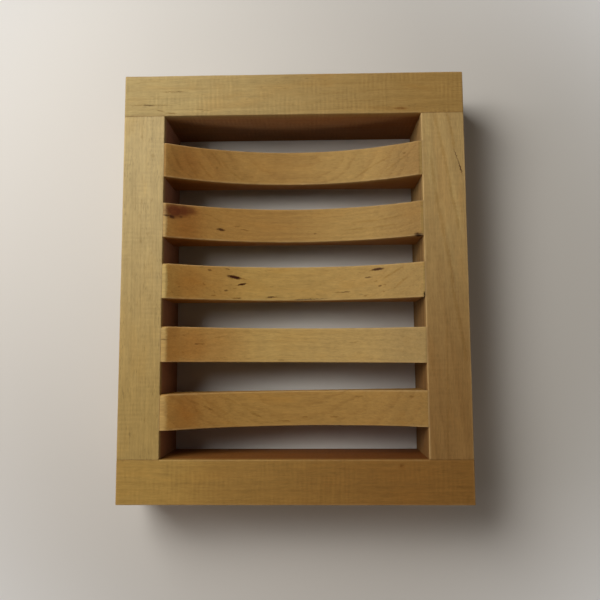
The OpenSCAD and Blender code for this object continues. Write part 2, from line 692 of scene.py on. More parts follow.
@dataclass(frozen=True)
class WoodFinish:
    """Sanded, unpainted close-grained wood, as one piece of it looks.

    Attributes:
        pale, deep: colour between the growth rings and at them.
        warm: colour of its warmer patches, and patches: how much of it shows.
        pith: where the tree's middle lay, across and up from the piece's own middle.
        lean: turn of the tree's axis from the piece's, in degrees, seen from the side and from above.
        ring: width of a year's growth, and contrast: how much the rings show.
        wavy: how far the rings wander, in millimetres.
        dashes: how much the short dark pores show.
        ripple: how much the cross ripple left by the plane shows.
        seed: picks this piece's own noise.
        rough: its roughness.
        fades: share of each colour left at its low and high ends: painted light and shade, partly its own
            drift.
        half: half the length over which it fades.
        inside: the share of each colour left on its faces within the frame: painted shade.
        rub: how pale its edges are, paled by rubbing and partly as a painted highlight.
        gloss: its specular level.
        plane_step: distance between two marks of the plane.
    """

    pale: tuple[float, float, float]
    deep: tuple[float, float, float]
    warm: tuple[float, float, float] = (184, 138, 78)
    patches: float = 0.3
    pith: tuple[float, float] = (30, -40)
    lean: tuple[float, float] = (0, 0)
    ring: float = 2.2
    contrast: float = 0.35
    wavy: float = 0.9
    dashes: float = 0.3
    ripple: float = 0.0
    seed: int = 1
    rough: float = 0.62
    fades: tuple[tuple[float, float, float], tuple[float, float, float]] = ((1, 1, 1), (1, 1, 1))
    half: float = 45.0
    inside: tuple[float, float, float] = (1, 1, 1)
    rub: float = 0.36
    gloss: float = 0.12
    plane_step: float = 1.3

    # What the seed is multiplied by to reach a piece's own noise, in X, Y and Z
    seed_steps = (91.7, 37.3, 53.9)
    # How much each noise changes the wood's tone, and how much the year, pores and ripple do
    tones = {
        Figure.FIBRE: 0.34, Figure.SPECK: 0.42, Figure.PATCH: 0.14, Figure.SILK: 0.16, Figure.MOTTLE: 0.16,
    }
    year_tone, pore_tone, ripple_tone = 0.14, 0.4, 0.11
    # How much fibres, specks and ripple lift the surface, and pores, ring lines and marks dent it
    fibre_lift, speck_lift, ripple_lift = 0.4, 0.5, 0.16
    pore_dent, ring_dent, mark_dent = 0.5, 0.25, 2
    # Strength of that relief, and its height in metres
    bump_strength, bump_height = 0.55, 0.05 * MM
    # How far patches bend the drift of the colour, painted light and shade along the board, in millimetres
    fade_bend = 20
    # Scale of the noise that makes marks ragged, and how far it shifts them, in millimetres
    rag_scale, rag_reach = 1.6, (1.1, 0.5, 0.5)
    # What is left of the colours in the cut ends, between the rings and at them
    cut_pale, cut_deep = (0.92, 0.87, 0.8), (0.83, 0.77, 0.68)
    # How much the ring lines, pores and years show there, and how much of that covers the wood
    cut_lines, cut_pores, cut_years, cut_shows = 0.9, 0.3, 0.5, 0.9
    # Colours of an edge paled by rubbing and a painted highlight, and of a joint's hairline
    rubbed_wood, seam_line = linear(216, 186, 136), linear(80, 52, 26)
    # From which to which wear noise these show, and the least and most that they do
    wear_range, rub_shows, seam_shows = (0.3, 0.7), (0.45, 1.0), (0.1, 0.42)
    # How much the fibres and end grain roughen the wood, and rubbing smooths an edge
    fibre_rough, end_rough, rub_smooth = 0.16, 0.12, 0.08

    def material(
        self, name: str, way: Way, middle: Sequence[float], marks: Iterable[Mark]
    ) -> bpy.types.Material:
        """Makes the material.

        Args:
            name: its name.
            way: which way the grain runs.
            middle: the middle of the piece.
            marks: the marks at their own places.

        Returns:
            The finished material.
        """
        made = bpy.data.materials.new(name)
        g = Graph(made)
        metres = g.node("TexCoord", out="Object")
        at = g.node("VectorMath", {"operation": "SCALE"}, {0: metres, "Scale": 1 / MM})
        grain = g.seen_from(at, middle, (0, 0, way.quarter_turn))
        own = g.vector("ADD", grain, tuple(self.seed * step for step in self.seed_steps))
        line, year = self.rings(g, grain, own)
        noise = {figure: figure.noise(g, own) for figure in self.tones}
        pores = g.ramp(Figure.PORES.noise(g, own), 0.6, 0.72)
        pores = pores * g.ramp(Figure.PORE_FIELDS.noise(g, own), 0.36, 0.6)

        tone = 1 + (year - 0.5) * self.year_tone - pores * (self.pore_tone * self.dashes)
        for figure, share in self.tones.items():
            tone = tone + (noise[figure] - 0.5) * share
        height = noise[Figure.FIBRE] * self.fibre_lift + noise[Figure.SPECK] * self.speck_lift
        height = height - pores * self.pore_dent - line * self.ring_dent
        if self.ripple:
            planed = self.plane_marks(g, own) * self.ripple
            tone, height = tone + planed * self.ripple_tone, height + planed * self.ripple_lift

        colour = g.blend(line * self.contrast, linear(*self.pale), linear(*self.deep))
        warmer = g.ramp(noise[Figure.PATCH], 0.5, 0.72) * self.patches
        colour = g.blend(warmer, colour, linear(*self.warm))
        colour, height = self.with_marks(g, colour, height, at, marks)
        colour = g.tinted(self.faded(g, colour, grain, noise[Figure.PATCH]), tone)
        cut = self.end_grain(g, own, line, year)
        colour, rough = self.worn(g, colour, own, noise[Figure.FIBRE], cut)

        relief = {"Strength": self.bump_strength, "Distance": self.bump_height, "Height": height}
        bump = g.node("Bump", None, relief)
        wood = g.node("BsdfPrincipled", None, {
            "Base Color": colour, "Roughness": rough, "Specular IOR Level": self.gloss, "Normal": bump,
        })
        g.node("OutputMaterial", None, {"Surface": wood})
        return made

    def rings(self, g: Graph, grain: Sock, own: Sock) -> tuple[Sock, Sock]:
        """The growth rings.

        A point's age is its distance from the pith, bent by soft noise, over the width of a
        year, plus 1.2 times soft noise of 0.43 of it, so that years differ in width. The part
        after the whole years goes from 0 in spring to 1 at the dark line. The line is the cube
        of that part, falls off from 0.86 on, and is broken by noise. A year's tone is the
        noise of 0.9 of its age.

        Args:
            g: the material's nodes.
            grain: the point, along and across the grain.
            own: the same in this piece's own noise.

        Returns:
            How dark the ring line is, and the tone of that whole year.
        """
        lean = (0, math.radians(self.lean[0]), math.radians(self.lean[1]))
        near = g.seen_from(grain, (0, *self.pith), lean)
        far = g.vector("LENGTH", g.vector("MULTIPLY", near, (0, 1, 1)), out="Value")
        bend, wobble = (figure.noise(g, own) - 0.5 for figure in (Figure.RING_BENDS, Figure.RING_WOBBLE))
        age = (far + bend * (4 * self.wavy) + wobble * (0.9 * self.wavy)) / self.ring
        age = age + g.years(age * 0.43) * 1.2
        part = age.fraction()
        broken = g.ramp(Figure.RING_BREAKS.noise(g, own), 0.25, 0.7, 0.35, 1.2)
        return part ** 3 * g.ramp(part, 0.86, 1.0, 1, 0) * broken, g.years(age * 0.9)

    def faded(self, g: Graph, colour: Sock, grain: Sock, patch: Sock) -> Sock:
        """Lets the colour drift from the board's low end to its high one: painted light and shade, partly
        the wood's own.

        Args:
            g: the material's nodes.
            colour: the wood's colour so far.
            grain: the point, along and across the grain.
            patch: noise that bends the drift.

        Returns:
            The colour.
        """
        share = g.ramp(g.along(grain) + (patch - 0.5) * self.fade_bend, -self.half, self.half)
        low, high = ((*fade, 1.0) for fade in self.fades)
        return g.blend(1.0, colour, g.blend(share, low, high), "MULTIPLY")

    def plane_marks(self, g: Graph, own: Sock) -> Sock:
        """The fine ripple that the plane leaves across the grain.

        It is half a sine of the plane's step, and 3.2 times noise in finer lines, both where
        broader noise lets them show.

        Args:
            g: the material's nodes.
            own: the point in this piece's own noise.

        Returns:
            The ripple, about 0 on average.
        """
        shift, lines = (figure.noise(g, own) for figure in (Figure.RIPPLE_SHIFT, Figure.RIPPLE_LINES))
        wave = (g.along(own) * (2 * math.pi / self.plane_step) + shift * 5).wave()
        shown = g.ramp(Figure.RIPPLE_FIELDS.noise(g, own), 0.35, 0.65)
        return (wave * 0.5 + (lines - 0.5) * 3.2) * shown

    def with_marks(
        self, g: Graph, colour: Sock, height: Sock, at: Sock, marks: Iterable[Mark]
    ) -> tuple[Sock, Sock]:
        """Lays the marks over the wood, those of one kind together.

        Args:
            g: the material's nodes.
            colour, height: the wood's colour and relief so far.
            at: the point in the dish, which noise shifts so that the marks are ragged.
            marks: the marks.

        Returns:
            The colour and the relief.
        """
        ragged = g.node("TexNoise", None, {"Vector": at, "Scale": self.rag_scale, "Detail": 3.0}, "Color")
        shift = g.vector("MULTIPLY", g.vector("SUBTRACT", ragged, (0.5, 0.5, 0.5)), self.rag_reach)
        spot = g.vector("ADD", at, shift)
        for kind in Kind:
            masks = [mark.mask(g, spot) for mark in marks if mark.kind is kind]
            if not masks:
                continue
            shown = masks[0]
            for mask in masks[1:]:
                shown = shown.over(mask)
            colour = g.shaded(colour, shown, kind.left)
            if kind.dent:
                height = height - shown * (self.mark_dent * kind.dent)
        return colour, height

    def end_grain(self, g: Graph, own: Sock, line: Sock, year: Sock) -> Sock:
        """The colour of the cut ends: darker and warmer, with rings and open pores.

        Args:
            g: the material's nodes.
            own: the point in this piece's own noise.
            line, year: how dark the ring line is, and the year's tone.

        Returns:
            The colour.
        """
        pores = g.ramp(Figure.END_PORES.noise(g, own), 0.5, 0.68)
        pale, deep = (
            linear(*(part * share for part, share in zip(colour, shares)))
            for colour, shares in ((self.pale, self.cut_pale), (self.deep, self.cut_deep))
        )
        dark = (line * self.cut_lines + pores * self.cut_pores).kept()
        return g.tinted(g.blend(dark, pale, deep), 1 + (year - 0.5) * self.cut_years)

    def worn(self, g: Graph, colour: Sock, own: Sock, fibre: Sock, cut: Sock) -> tuple[Sock, Sock]:
        """Adds painted shade on the inner faces, edges paled by rubbing and a painted highlight, end grain
        and the hairline of each joint.

        Args:
            g: the material's nodes.
            colour: the wood's colour so far.
            own: the point in this piece's own noise.
            fibre: the fibre noise, which also varies the roughness.
            cut: the colour of the end grain.

        Returns:
            The colour and the roughness.
        """
        edge, seam, end, inside = (g.attribute(name) for name in ("edge", "seam", "end", "inside"))
        uneven = Figure.WEAR.noise(g, own)
        rubbed = edge * g.ramp(uneven, *self.wear_range, *self.rub_shows)
        # Painted shade on the faces within the frame
        colour = g.shaded(colour, inside, (*self.inside, 1))
        # Edges paled partly by rubbing and partly as a painted highlight
        colour = g.blend(rubbed * self.rub, colour, self.rubbed_wood)
        colour = g.blend(end * self.cut_shows, colour, cut)
        hairline = seam * g.ramp(uneven, *self.wear_range, *self.seam_shows)
        colour = g.blend(hairline, colour, self.seam_line)
        rough = self.rough + (fibre - 0.5) * self.fibre_rough
        rough = rough - rubbed * self.rub_smooth + end * self.end_rough
        return colour, rough.kept()


# Pieces

def inner_face(
    gap: np.ndarray, down: np.ndarray, reach: float = 0.35, begins: float = 0.35, fades: float = 1.2
) -> np.ndarray:
    """How much each point belongs to a face within the frame, which gets painted shade.

    It is the S curve of the distance from the face, times 1 less that of the distance down.

    Args:
        gap: distance from the face, which counts within the reach.
        down: distance below the piece's top.
        reach, begins, fades: that reach, how far down the face begins and how far it fades in.

    Returns:
        1 on the face below its top edge, and 0 elsewhere.
    """
    return eased(gap, reach) * (1 - eased(down - begins, fades))


@dataclass
class Piece:
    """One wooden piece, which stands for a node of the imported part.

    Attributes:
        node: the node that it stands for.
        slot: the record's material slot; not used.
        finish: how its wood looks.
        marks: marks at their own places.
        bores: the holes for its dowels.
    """

    node: str
    slot: str
    finish: WoodFinish
    marks: tuple[Mark, ...] = ()
    bores: tuple[Bore, ...] = ()

    # Which way it runs, and the angle in degrees past which an edge is shaded sharp
    way = Way.ALONG_X
    crease = 38.0
    # How far a pale edge, from rubbing and a painted highlight, reaches, and a joint's hairline across the
    # joint and into it
    rub_reach, seam_reach, seam_depth = 0.55, 0.3, 0.4
    # Radius of the rounding at its two ends, and the least radius of any edge
    ends, least_radius = (0.06, 0.06), 0.02
    # Share of its edges' radius that wobbles, the wobble's wavelength, and what picks it
    wobble, wobble_wave, wobble_seed = 0.22, 31, 7

    def __post_init__(self) -> None:
        """Reads the node's box, in millimetres."""
        low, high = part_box(self.node)
        self.low = np.array(low) / MM
        self.high = np.array(high) / MM

    @property
    def middle(self) -> tuple[float, float, float]:
        """Middle of the node's box."""
        return tuple(float(x) for x in (self.low + self.high) / 2)

    def gaps(self, points: np.ndarray) -> np.ndarray:
        """How far each point is from the nearer side of the node's box, in X, Y and Z."""
        return np.minimum(points - self.low, self.high - points)

    def edges(self, places: np.ndarray, ease: float) -> np.ndarray:
        """Radii of the four long edges: ease * (1 + the wobble's share * a wobble along the edge).

        Args:
            places: the stations along the piece.
            ease: the radius on average.

        Returns:
            The radii, of shape (stations, 4).
        """
        seeds = self.finish.seed * self.wobble_seed + np.arange(4)
        waves = [wander(places, int(seed), self.wobble_wave) for seed in seeds]
        return ease * (1 + self.wobble * np.stack(waves, axis=1))

    def surface(self) -> Shell:
        """Works out the piece's own surface, before it is bored."""
        raise NotImplementedError

    def wear(self, points: np.ndarray) -> dict[str, np.ndarray]:
        """How far each point is on an edge, in a seam, on end grain and in painted shade: 0 to 1."""
        return {name: np.zeros(len(points)) for name in ("edge", "seam", "end", "inside")}

    def make(self) -> None:
        """Builds the piece, dresses it and puts it in the frame."""
        piece = bpy.data.objects.new(f"{self.node}_wood", self.surface().mesh(self.node))
        bpy.context.scene.collection.objects.link(piece)
        if self.bores:
            self.bore(piece)
        mesh = piece.data
        mesh.shade_smooth()
        mesh.set_sharp_from_angle(angle=math.radians(self.crease))
        points = np.empty(len(mesh.vertices) * 3, np.float32)
        mesh.vertices.foreach_get("co", points)
        for name, values in self.wear(points.reshape(-1, 3).astype(float) / MM).items():
            layer = mesh.attributes.new(name, "FLOAT", "POINT")
            layer.data.foreach_set("value", np.clip(values, 0, 1).astype(np.float32))
        mesh.materials.clear()
        mesh.materials.append(
            self.finish.material(f"{self.node}_finish", self.way, self.middle, self.marks)
        )
        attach(piece, BODY)
        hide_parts(self.node)
        corners = np.array([corner[:] for corner in piece.bound_box]) / MM
        stray = max(np.abs(corners.min(0) - self.low).max(), np.abs(corners.max(0) - self.high).max())
        log.info("%s: %d faces, %.2f mm from its node", piece.name, len(mesh.polygons), stray)

    def bore(self, piece: bpy.types.Object) -> None:
        """Cuts the dowel holes and keeps the result as the piece's own mesh.

        Args:
            piece: the piece's object.
        """
        shells = [bore.shell() for bore in self.bores]
        starts = np.cumsum([0] + [len(shell.points) for shell in shells])
        faces = [[n + start for n in face] for shell, start in zip(shells, starts) for face in shell.faces]
        drill_mesh = Shell(np.concatenate([shell.points for shell in shells]), faces).mesh("drill")
        drill = bpy.data.objects.new("drill", drill_mesh)
        bpy.context.scene.collection.objects.link(drill)
        cut = piece.modifiers.new("bores", "BOOLEAN")
        cut.operation, cut.solver, cut.object = "DIFFERENCE", "EXACT", drill
        graph = bpy.context.evaluated_depsgraph_get()
        solid = piece.data
        piece.data = bpy.data.meshes.new_from_object(piece.evaluated_get(graph))
        piece.modifiers.clear()
        for spent in (drill_mesh, solid):
            bpy.data.meshes.remove(spent)


@dataclass
class Rail(Piece):
    """A rail: a bar with four eased edges.

    Attributes:
        joints: seams across its inner edge: low end, high end and how much it shows.
        ease: radius of its eased edges.
        tight: radius of its inner top edge where another piece meets it.
    """

    joints: tuple[tuple[float, float, float], ...] = ()
    ease: float = 0.32
    tight: float = 0.07

    ends = (0.3, 0.3)

    @property
    def faces_low(self) -> bool:
        """Whether the dish's middle lies on the rail's low side."""
        return self.middle[self.way.across] > 0

    def inner_gap(self, points: np.ndarray) -> np.ndarray:
        """How far each point is from the rail's inner face."""
        across = points[:, self.way.across]
        return across - self.low[self.way.across] if self.faces_low else self.high[self.way.across] - across

    def seam_shown(self, along: np.ndarray) -> np.ndarray:
        """How much the seam shows where another piece meets the inner edge.

        Args:
            along: places along the rail.

        Returns:
            The share that shows, and 0 where the edge is free.
        """
        shown = np.zeros(along.shape)
        for low, high, shows in self.joints:
            shown = np.maximum(shown, ((along > low) & (along < high)) * shows)
        return shown

    def in_joint(self, along: np.ndarray) -> np.ndarray:
        """1 where another piece meets the inner edge, and 0 where it is free."""
        return (self.seam_shown(along) > 0).astype(float)

    def surface(self) -> Shell:
        """A rounded rectangle carried along the rail.

        Its edges are rounded, and the inner top edge narrows to the tight radius in each joint.

        Returns:
            The surface.
        """
        across, along = self.way.across, self.way.value
        sides = [(place, side) for low, high, _ in self.joints for place, side in ((low, -1), (high, 1))]
        seams = [place + side * step for place, side in sides for step in (-0.05, 0.05, 0.25)]
        places, insets = Stations(self.low[along], self.high[along], self.ends, extra=seams).worked()
        count = len(places)
        lows = np.tile([self.low[across], self.low[2]], (count, 1)) + insets[:, None]
        highs = np.tile([self.high[across], self.high[2]], (count, 1)) - insets[:, None]
        radii = self.edges(places, self.ease)
        tight = 1 - self.in_joint(places) * (1 - self.tight / self.ease)
        radii[:, 3 if self.faces_low else 2] *= tight
        radii = np.maximum(radii - insets[:, None], self.least_radius)
        rings = Section(lows, highs, radii).rings()
        return Shell.carried(self.way.placed(places[:, None], rings[..., 0], rings[..., 1]))

    def rubbed(self, points: np.ndarray) -> np.ndarray:
        """How much each point is on a pale edge, from rubbing and a painted highlight: where two faces are
        near, but no joint is.
        """
        met = self.in_joint(points[:, self.way.value]) * eased(self.inner_gap(points), 0.6)
        return eased(np.sort(self.gaps(points), axis=1)[:, 1], self.rub_reach) * (1 - met)

    def seam(self, points: np.ndarray) -> np.ndarray:
        """How much each point is in the hairline of a joint on the inner top edge.

        Args:
            points: the mesh's points.

        Returns:
            The share at each point.
        """
        deep = eased(self.high[2] - points[:, 2], self.seam_depth)
        shown = self.seam_shown(points[:, self.way.value])
        return shown * eased(self.inner_gap(points), self.seam_reach) * deep

    def wear(self, points: np.ndarray) -> dict[str, np.ndarray]:
        """Edges, paled by rubbing and a painted highlight, a third less on the inner ones; seams; end
        grain; painted shade.

        Args:
            points: the mesh's points.

        Returns:
            For each name, a value from 0 to 1 at each point.
        """
        inner_gap = self.inner_gap(points)
        return {
            "edge": self.rubbed(points) * (1 - 0.35 * eased(inner_gap, 1.0)),
            "seam": self.seam(points),
            "end": eased(self.gaps(points)[:, self.way.value], 0.12),
            "inside": inner_face(inner_gap, self.high[2] - points[:, 2]),
        }


@dataclass
class EndRail(Rail):
    """An end rail, which runs the full width and caps the side rails."""

    def seam(self, points: np.ndarray) -> np.ndarray:
        """The side rails' hairline, which goes round all of each corner joint.

        Args:
            points: the mesh's points.

        Returns:
            The share at each point.
        """
        gaps = self.gaps(points)
        deep = eased(np.minimum(gaps[:, 0], gaps[:, 2]), self.seam_depth)
        return self.in_joint(points[:, 0]) * eased(self.inner_gap(points), self.seam_reach) * deep


@dataclass
class SideRail(Rail):
    """A side rail, which stands between the end rails and carries the slats."""

    way = Way.ALONG_Y
    ends = Piece.ends

    def rubbed(self, points: np.ndarray) -> np.ndarray:
        """How much each point is on one of its four long edges."""
        gaps = self.gaps(points)
        return eased(np.maximum(gaps[:, 0], gaps[:, 2]), self.rub_reach) * (1 - eased(gaps[:, 1], 0.3))

    def seam(self, points: np.ndarray) -> np.ndarray:
        """As on any rail, with a hairline round both ends too.

        Args:
            points: the mesh's points.

        Returns:
            The share at each point.
        """
        gaps = self.gaps(points)
        deep = eased(np.minimum(gaps[:, 0], gaps[:, 2]), self.seam_depth)
        return np.maximum(super().seam(points), eased(gaps[:, 1], self.seam_reach) * deep)


@dataclass(frozen=True)
class Chip:
    """A small break in a slat's long top edge.

    Attributes:
        along: where it is, measured along the slat from its middle.
        side: -1 for the front edge and 1 for the back one.
        length, depth: its size.
    """

    along: float
    side: int
    length: float
    depth: float


@dataclass
class Slat(Piece):
    """A slat, hollowed across its top by a round cutter.

    Attributes:
        turn: its turn as built, in degrees, left from X.
        drift: how far the hollow lies to the right of the slat's middle.
        soft: how softly the hollow meets the flats, in millimetres.
        wide: the slat's width.
        hollow: the hollow's depth and half its width.
        faces_x: the side rails' inner faces.
        ease: radius of its eased edges.
        chips: breaks in its edges.
        slack: gap at the front right corner, where the slat was trimmed short.
        shows: how much its seams show, left and right.
    """

    turn: float = 0.0
    drift: float = 0.0
    soft: float = 0.03
    wide: float = SLAT_WIDTH
    hollow: tuple[float, float] = (9.6, 37.0)
    faces_x: tuple[float, float] = RAIL_FACES
    ease: float = 0.3
    chips: tuple[Chip, ...] = ()
    slack: float = 0.0
    shows: tuple[float, float] = (1.0, 1.0)

    wobble, wobble_wave, wobble_seed = 0.25, 23, 11
    # Distance between its rings, and distances from where the hollow meets a flat of more rings
    spacing, near = 1.6, np.array([0, 0.04, 0.08, 0.14, 0.22, 0.32, 0.46, 0.65, 0.9, 1.3])
    # How much its pale edges show, paled by rubbing and a painted highlight
    edge_shows = 1.35

    def top(self, along: np.ndarray) -> np.ndarray:
        """Height of the slat's top.

        The hollow is an arc of radius (half width squared + depth squared) / (2 * depth), and
        where it meets the flat the two are joined by -soft * log(exp(-flat / soft) + exp(-arc / soft)).

        Args:
            along: places along the slat from its middle.

        Returns:
            The height at each place.
        """
        depth, half = self.hollow
        radius = (half**2 + depth**2) / (2 * depth)
        flat = self.high[2]
        reach = np.clip(np.abs(along - self.drift), 0, radius * 0.999)
        arc = flat - depth + radius - np.sqrt(radius**2 - reach**2)
        return flat - self.soft * np.logaddexp(0, (flat - arc) / self.soft)

    def surface(self) -> Shell:
        """A rounded rectangle carried along the slat under its hollowed top.

        A ring at u along and v across goes to the middle plus the turn of (u, v), and at each
        end u is stretched with v so that the ring lies in the rail's own upright face.

        Returns:
            The surface.
        """
        middle_x, turn = sum(self.faces_x) / 2, math.radians(self.turn)
        ends = [(face - middle_x) / math.cos(turn) for face in self.faces_x]
        creases = [self.drift - self.hollow[1], self.drift + self.hollow[1]]
        extra = [crease + side * self.near for crease in creases for side in (-1, 1)]
        extra += [chip.along + np.linspace(-1, 1, 9) * chip.length for chip in self.chips]
        places, insets = Stations(*ends, self.ends, self.spacing, np.concatenate(extra)).worked()
        count, half = len(places), self.wide / 2
        crown = self.top(places)
        lows = np.stack([np.full(count, -half), np.full(count, self.low[2])], axis=1) + insets[:, None]
        highs = np.stack([np.full(count, half), crown], axis=1) - insets[:, None]
        radii = np.maximum(self.edges(places, self.ease) - insets[:, None], self.least_radius)
        rings = Section(lows, highs, radii, spare=(7, 4)).rings()
        along = np.broadcast_to(places[:, None], rings.shape[:2])
        across, up = self.chipped(along, rings[..., 0], rings[..., 1], crown[:, None])
        lean = np.interp(places, [ends[0], creases[0], creases[1], ends[1]], [1, 0, 0, 1])[:, None]
        along = along + lean * across * math.tan(turn)
        along = along - self.slack * eased(across + half, 2.0) * (places > ends[1] - 0.6)[:, None]
        x = middle_x + along * math.cos(turn) - across * math.sin(turn)
        y = self.middle[1] + along * math.sin(turn) + across * math.cos(turn)
        return Shell.carried(np.stack([x, y, up], axis=-1))

    def chipped(
        self, along: np.ndarray, across: np.ndarray, up: np.ndarray, crown: np.ndarray
    ) -> tuple[np.ndarray, np.ndarray]:
        """Breaks the chips out of the long top edges.

        A point goes in from its side by the chip's depth, and down by 0.6 of that, times the
        S curves of its distances from the side and the top, and times the 0.7th power of what
        is left of 1 after its distance along, in chip lengths.

        Args:
            along, across, up: the rings' points, from the slat's middle.
            crown: height of the top at each ring.

        Returns:
            The new distances across and up.
        """
        for chip in self.chips:
            beside = np.clip(1 - np.abs(along - chip.along) / chip.length, 0, 1) ** 0.7
            close = eased(self.wide / 2 - across * chip.side, 0.9) * eased(crown - up, 0.9)
            across = across - chip.side * chip.depth * beside * close
            up = up - chip.depth * 0.6 * beside * close
        return across, up

    def wear(self, points: np.ndarray) -> dict[str, np.ndarray]:
        """Edge along its four long edges, a seam where it meets each side rail, and painted shade on its
        front face.

        Args:
            points: the mesh's points.

        Returns:
            For each name, a value from 0 to 1 at each point.
        """
        worn = super().wear(points)
        turn = math.radians(self.turn)
        dx, dy = points[:, 0] - sum(self.faces_x) / 2, points[:, 1] - self.middle[1]
        along = dx * math.cos(turn) + dy * math.sin(turn)
        across = dy * math.cos(turn) - dx * math.sin(turn)
        down = self.top(along) - points[:, 2]
        side, level = self.wide / 2 - np.abs(across), np.minimum(down, points[:, 2] - self.low[2])
        gap = np.minimum(points[:, 0] - self.faces_x[0], self.faces_x[1] - points[:, 0])
        worn["edge"] = eased(np.maximum(side, level), self.rub_reach) * (1 - eased(gap, 0.2))
        worn["edge"] *= self.edge_shows
        worn["seam"] = eased(gap, 0.16) * eased(np.minimum(side, level), self.seam_depth)
        worn["seam"] *= np.where(dx < 0, *self.shows)
        # Painted shade on the slat's front face, below its top
        worn["inside"] = inner_face(across + self.wide / 2, down)
        return worn


@dataclass
class Dowel(Piece):
    """A dowel with pressed flutes, which carry the glue, and chamfered ends.

    Attributes:
        flutes: number of flutes.
        flute_depth: their depth.
        chamfer: chamfer at both ends.
    """

    flutes: int = 18
    flute_depth: float = 0.16
    chamfer: float = 0.6

    crease = 50.0

    def __post_init__(self) -> None:
        """Reads the node's box and turns the dowel along its longest side."""
        super().__post_init__()
        self.way = Way.longest(self.high - self.low)

    def surface(self) -> Shell:
        """Circles along the dowel, pressed in by depth * (0.5 + 0.5 * cos(flutes * angle)) ** 3.

        The flutes fade out over the last 0.8 mm before each chamfer.

        Returns:
            The surface.
        """
        half, radius = ((self.high - self.low) / 2)[[self.way.value, self.way.across]]
        steps = self.flutes * 6
        edge = half - self.chamfer
        places = np.array([-half, -half + 0.02, -edge, -edge + 0.25, -edge + 0.8, 0,
                           edge - 0.8, edge - 0.25, edge, half - 0.02, half])
        body = radius - np.clip(np.abs(places) - edge, 0, None)
        body[[0, -1]] -= 0.05
        press = eased(np.abs(places) - edge + 0.8, 0.8)
        angle = np.linspace(0, 2 * np.pi, steps, endpoint=False)
        flute = self.flute_depth * (0.5 + 0.5 * np.cos(self.flutes * angle)) ** 3
        radii = body[:, None] - press[:, None] * flute
        bar = round_bar(places, radii, steps)
        return Shell.carried(self.way.placed(bar[..., 0], bar[..., 1], bar[..., 2]) + self.middle)

    def wear(self, points: np.ndarray) -> dict[str, np.ndarray]:
        """End grain on both end faces, and nothing else."""
        return super().wear(points) | {"end": eased(self.gaps(points)[:, self.way.value], 0.3)}


# Sub-assemblies

def corner_dowel(end: End, side: Side, level: Level) -> str:
    """Name of a corner dowel's node."""
    return f"corner_dowel_{end.word}_{side.word}_{level.word}"


def slat_dowel(number: int, side: Side) -> str:
    """Name of a slat dowel's node."""
    return f"slat_dowel_{number}_{side.word}"


@dataclass
class DowelHoles:
    """The sizes that the dowel holes share.

    Attributes:
        radius: radius of a hole.
        glue_room: room left past each end of a dowel.
        joint_y: joint plane between side and end rails, from the middle.
        faces_x: the side rails' inner faces.
    """

    radius: float = 2.55
    glue_room: float = 0.5
    joint_y: float = 49.9
    faces_x: tuple[float, float] = RAIL_FACES

    def into(self, node: str, plane: float) -> tuple[Bore, Bore]:
        """The two halves of a dowel's hole, below and above the plane that it crosses.

        Args:
            node: the dowel's node.
            plane: where the joint cuts the dowel's axis.

        Returns:
            The bore towards the low side and the one towards the high side.
        """
        low, high = (np.array(corner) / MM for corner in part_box(node))
        way = Way.longest(high - low)
        mouth = (low + high) / 2
        mouth[way.value] = plane
        spot = tuple(float(x) for x in mouth)
        ends = low[way.value] - self.glue_room - plane, high[way.value] + self.glue_room - plane
        return tuple(Bore(spot, way, float(end), self.radius) for end in ends)

    def corner(self, side: Side, end: End) -> list[tuple[Bore, Bore]]:
        """Both dowel holes of a corner, the lower one first."""
        plane = end.sign * self.joint_y
        return [self.into(corner_dowel(end, side, level), plane) for level in Level]

    def slat(self, number: int, side: Side) -> tuple[Bore, Bore]:
        """The dowel hole at one end of a slat."""
        return self.into(slat_dowel(number, side), self.faces_x[side.value])


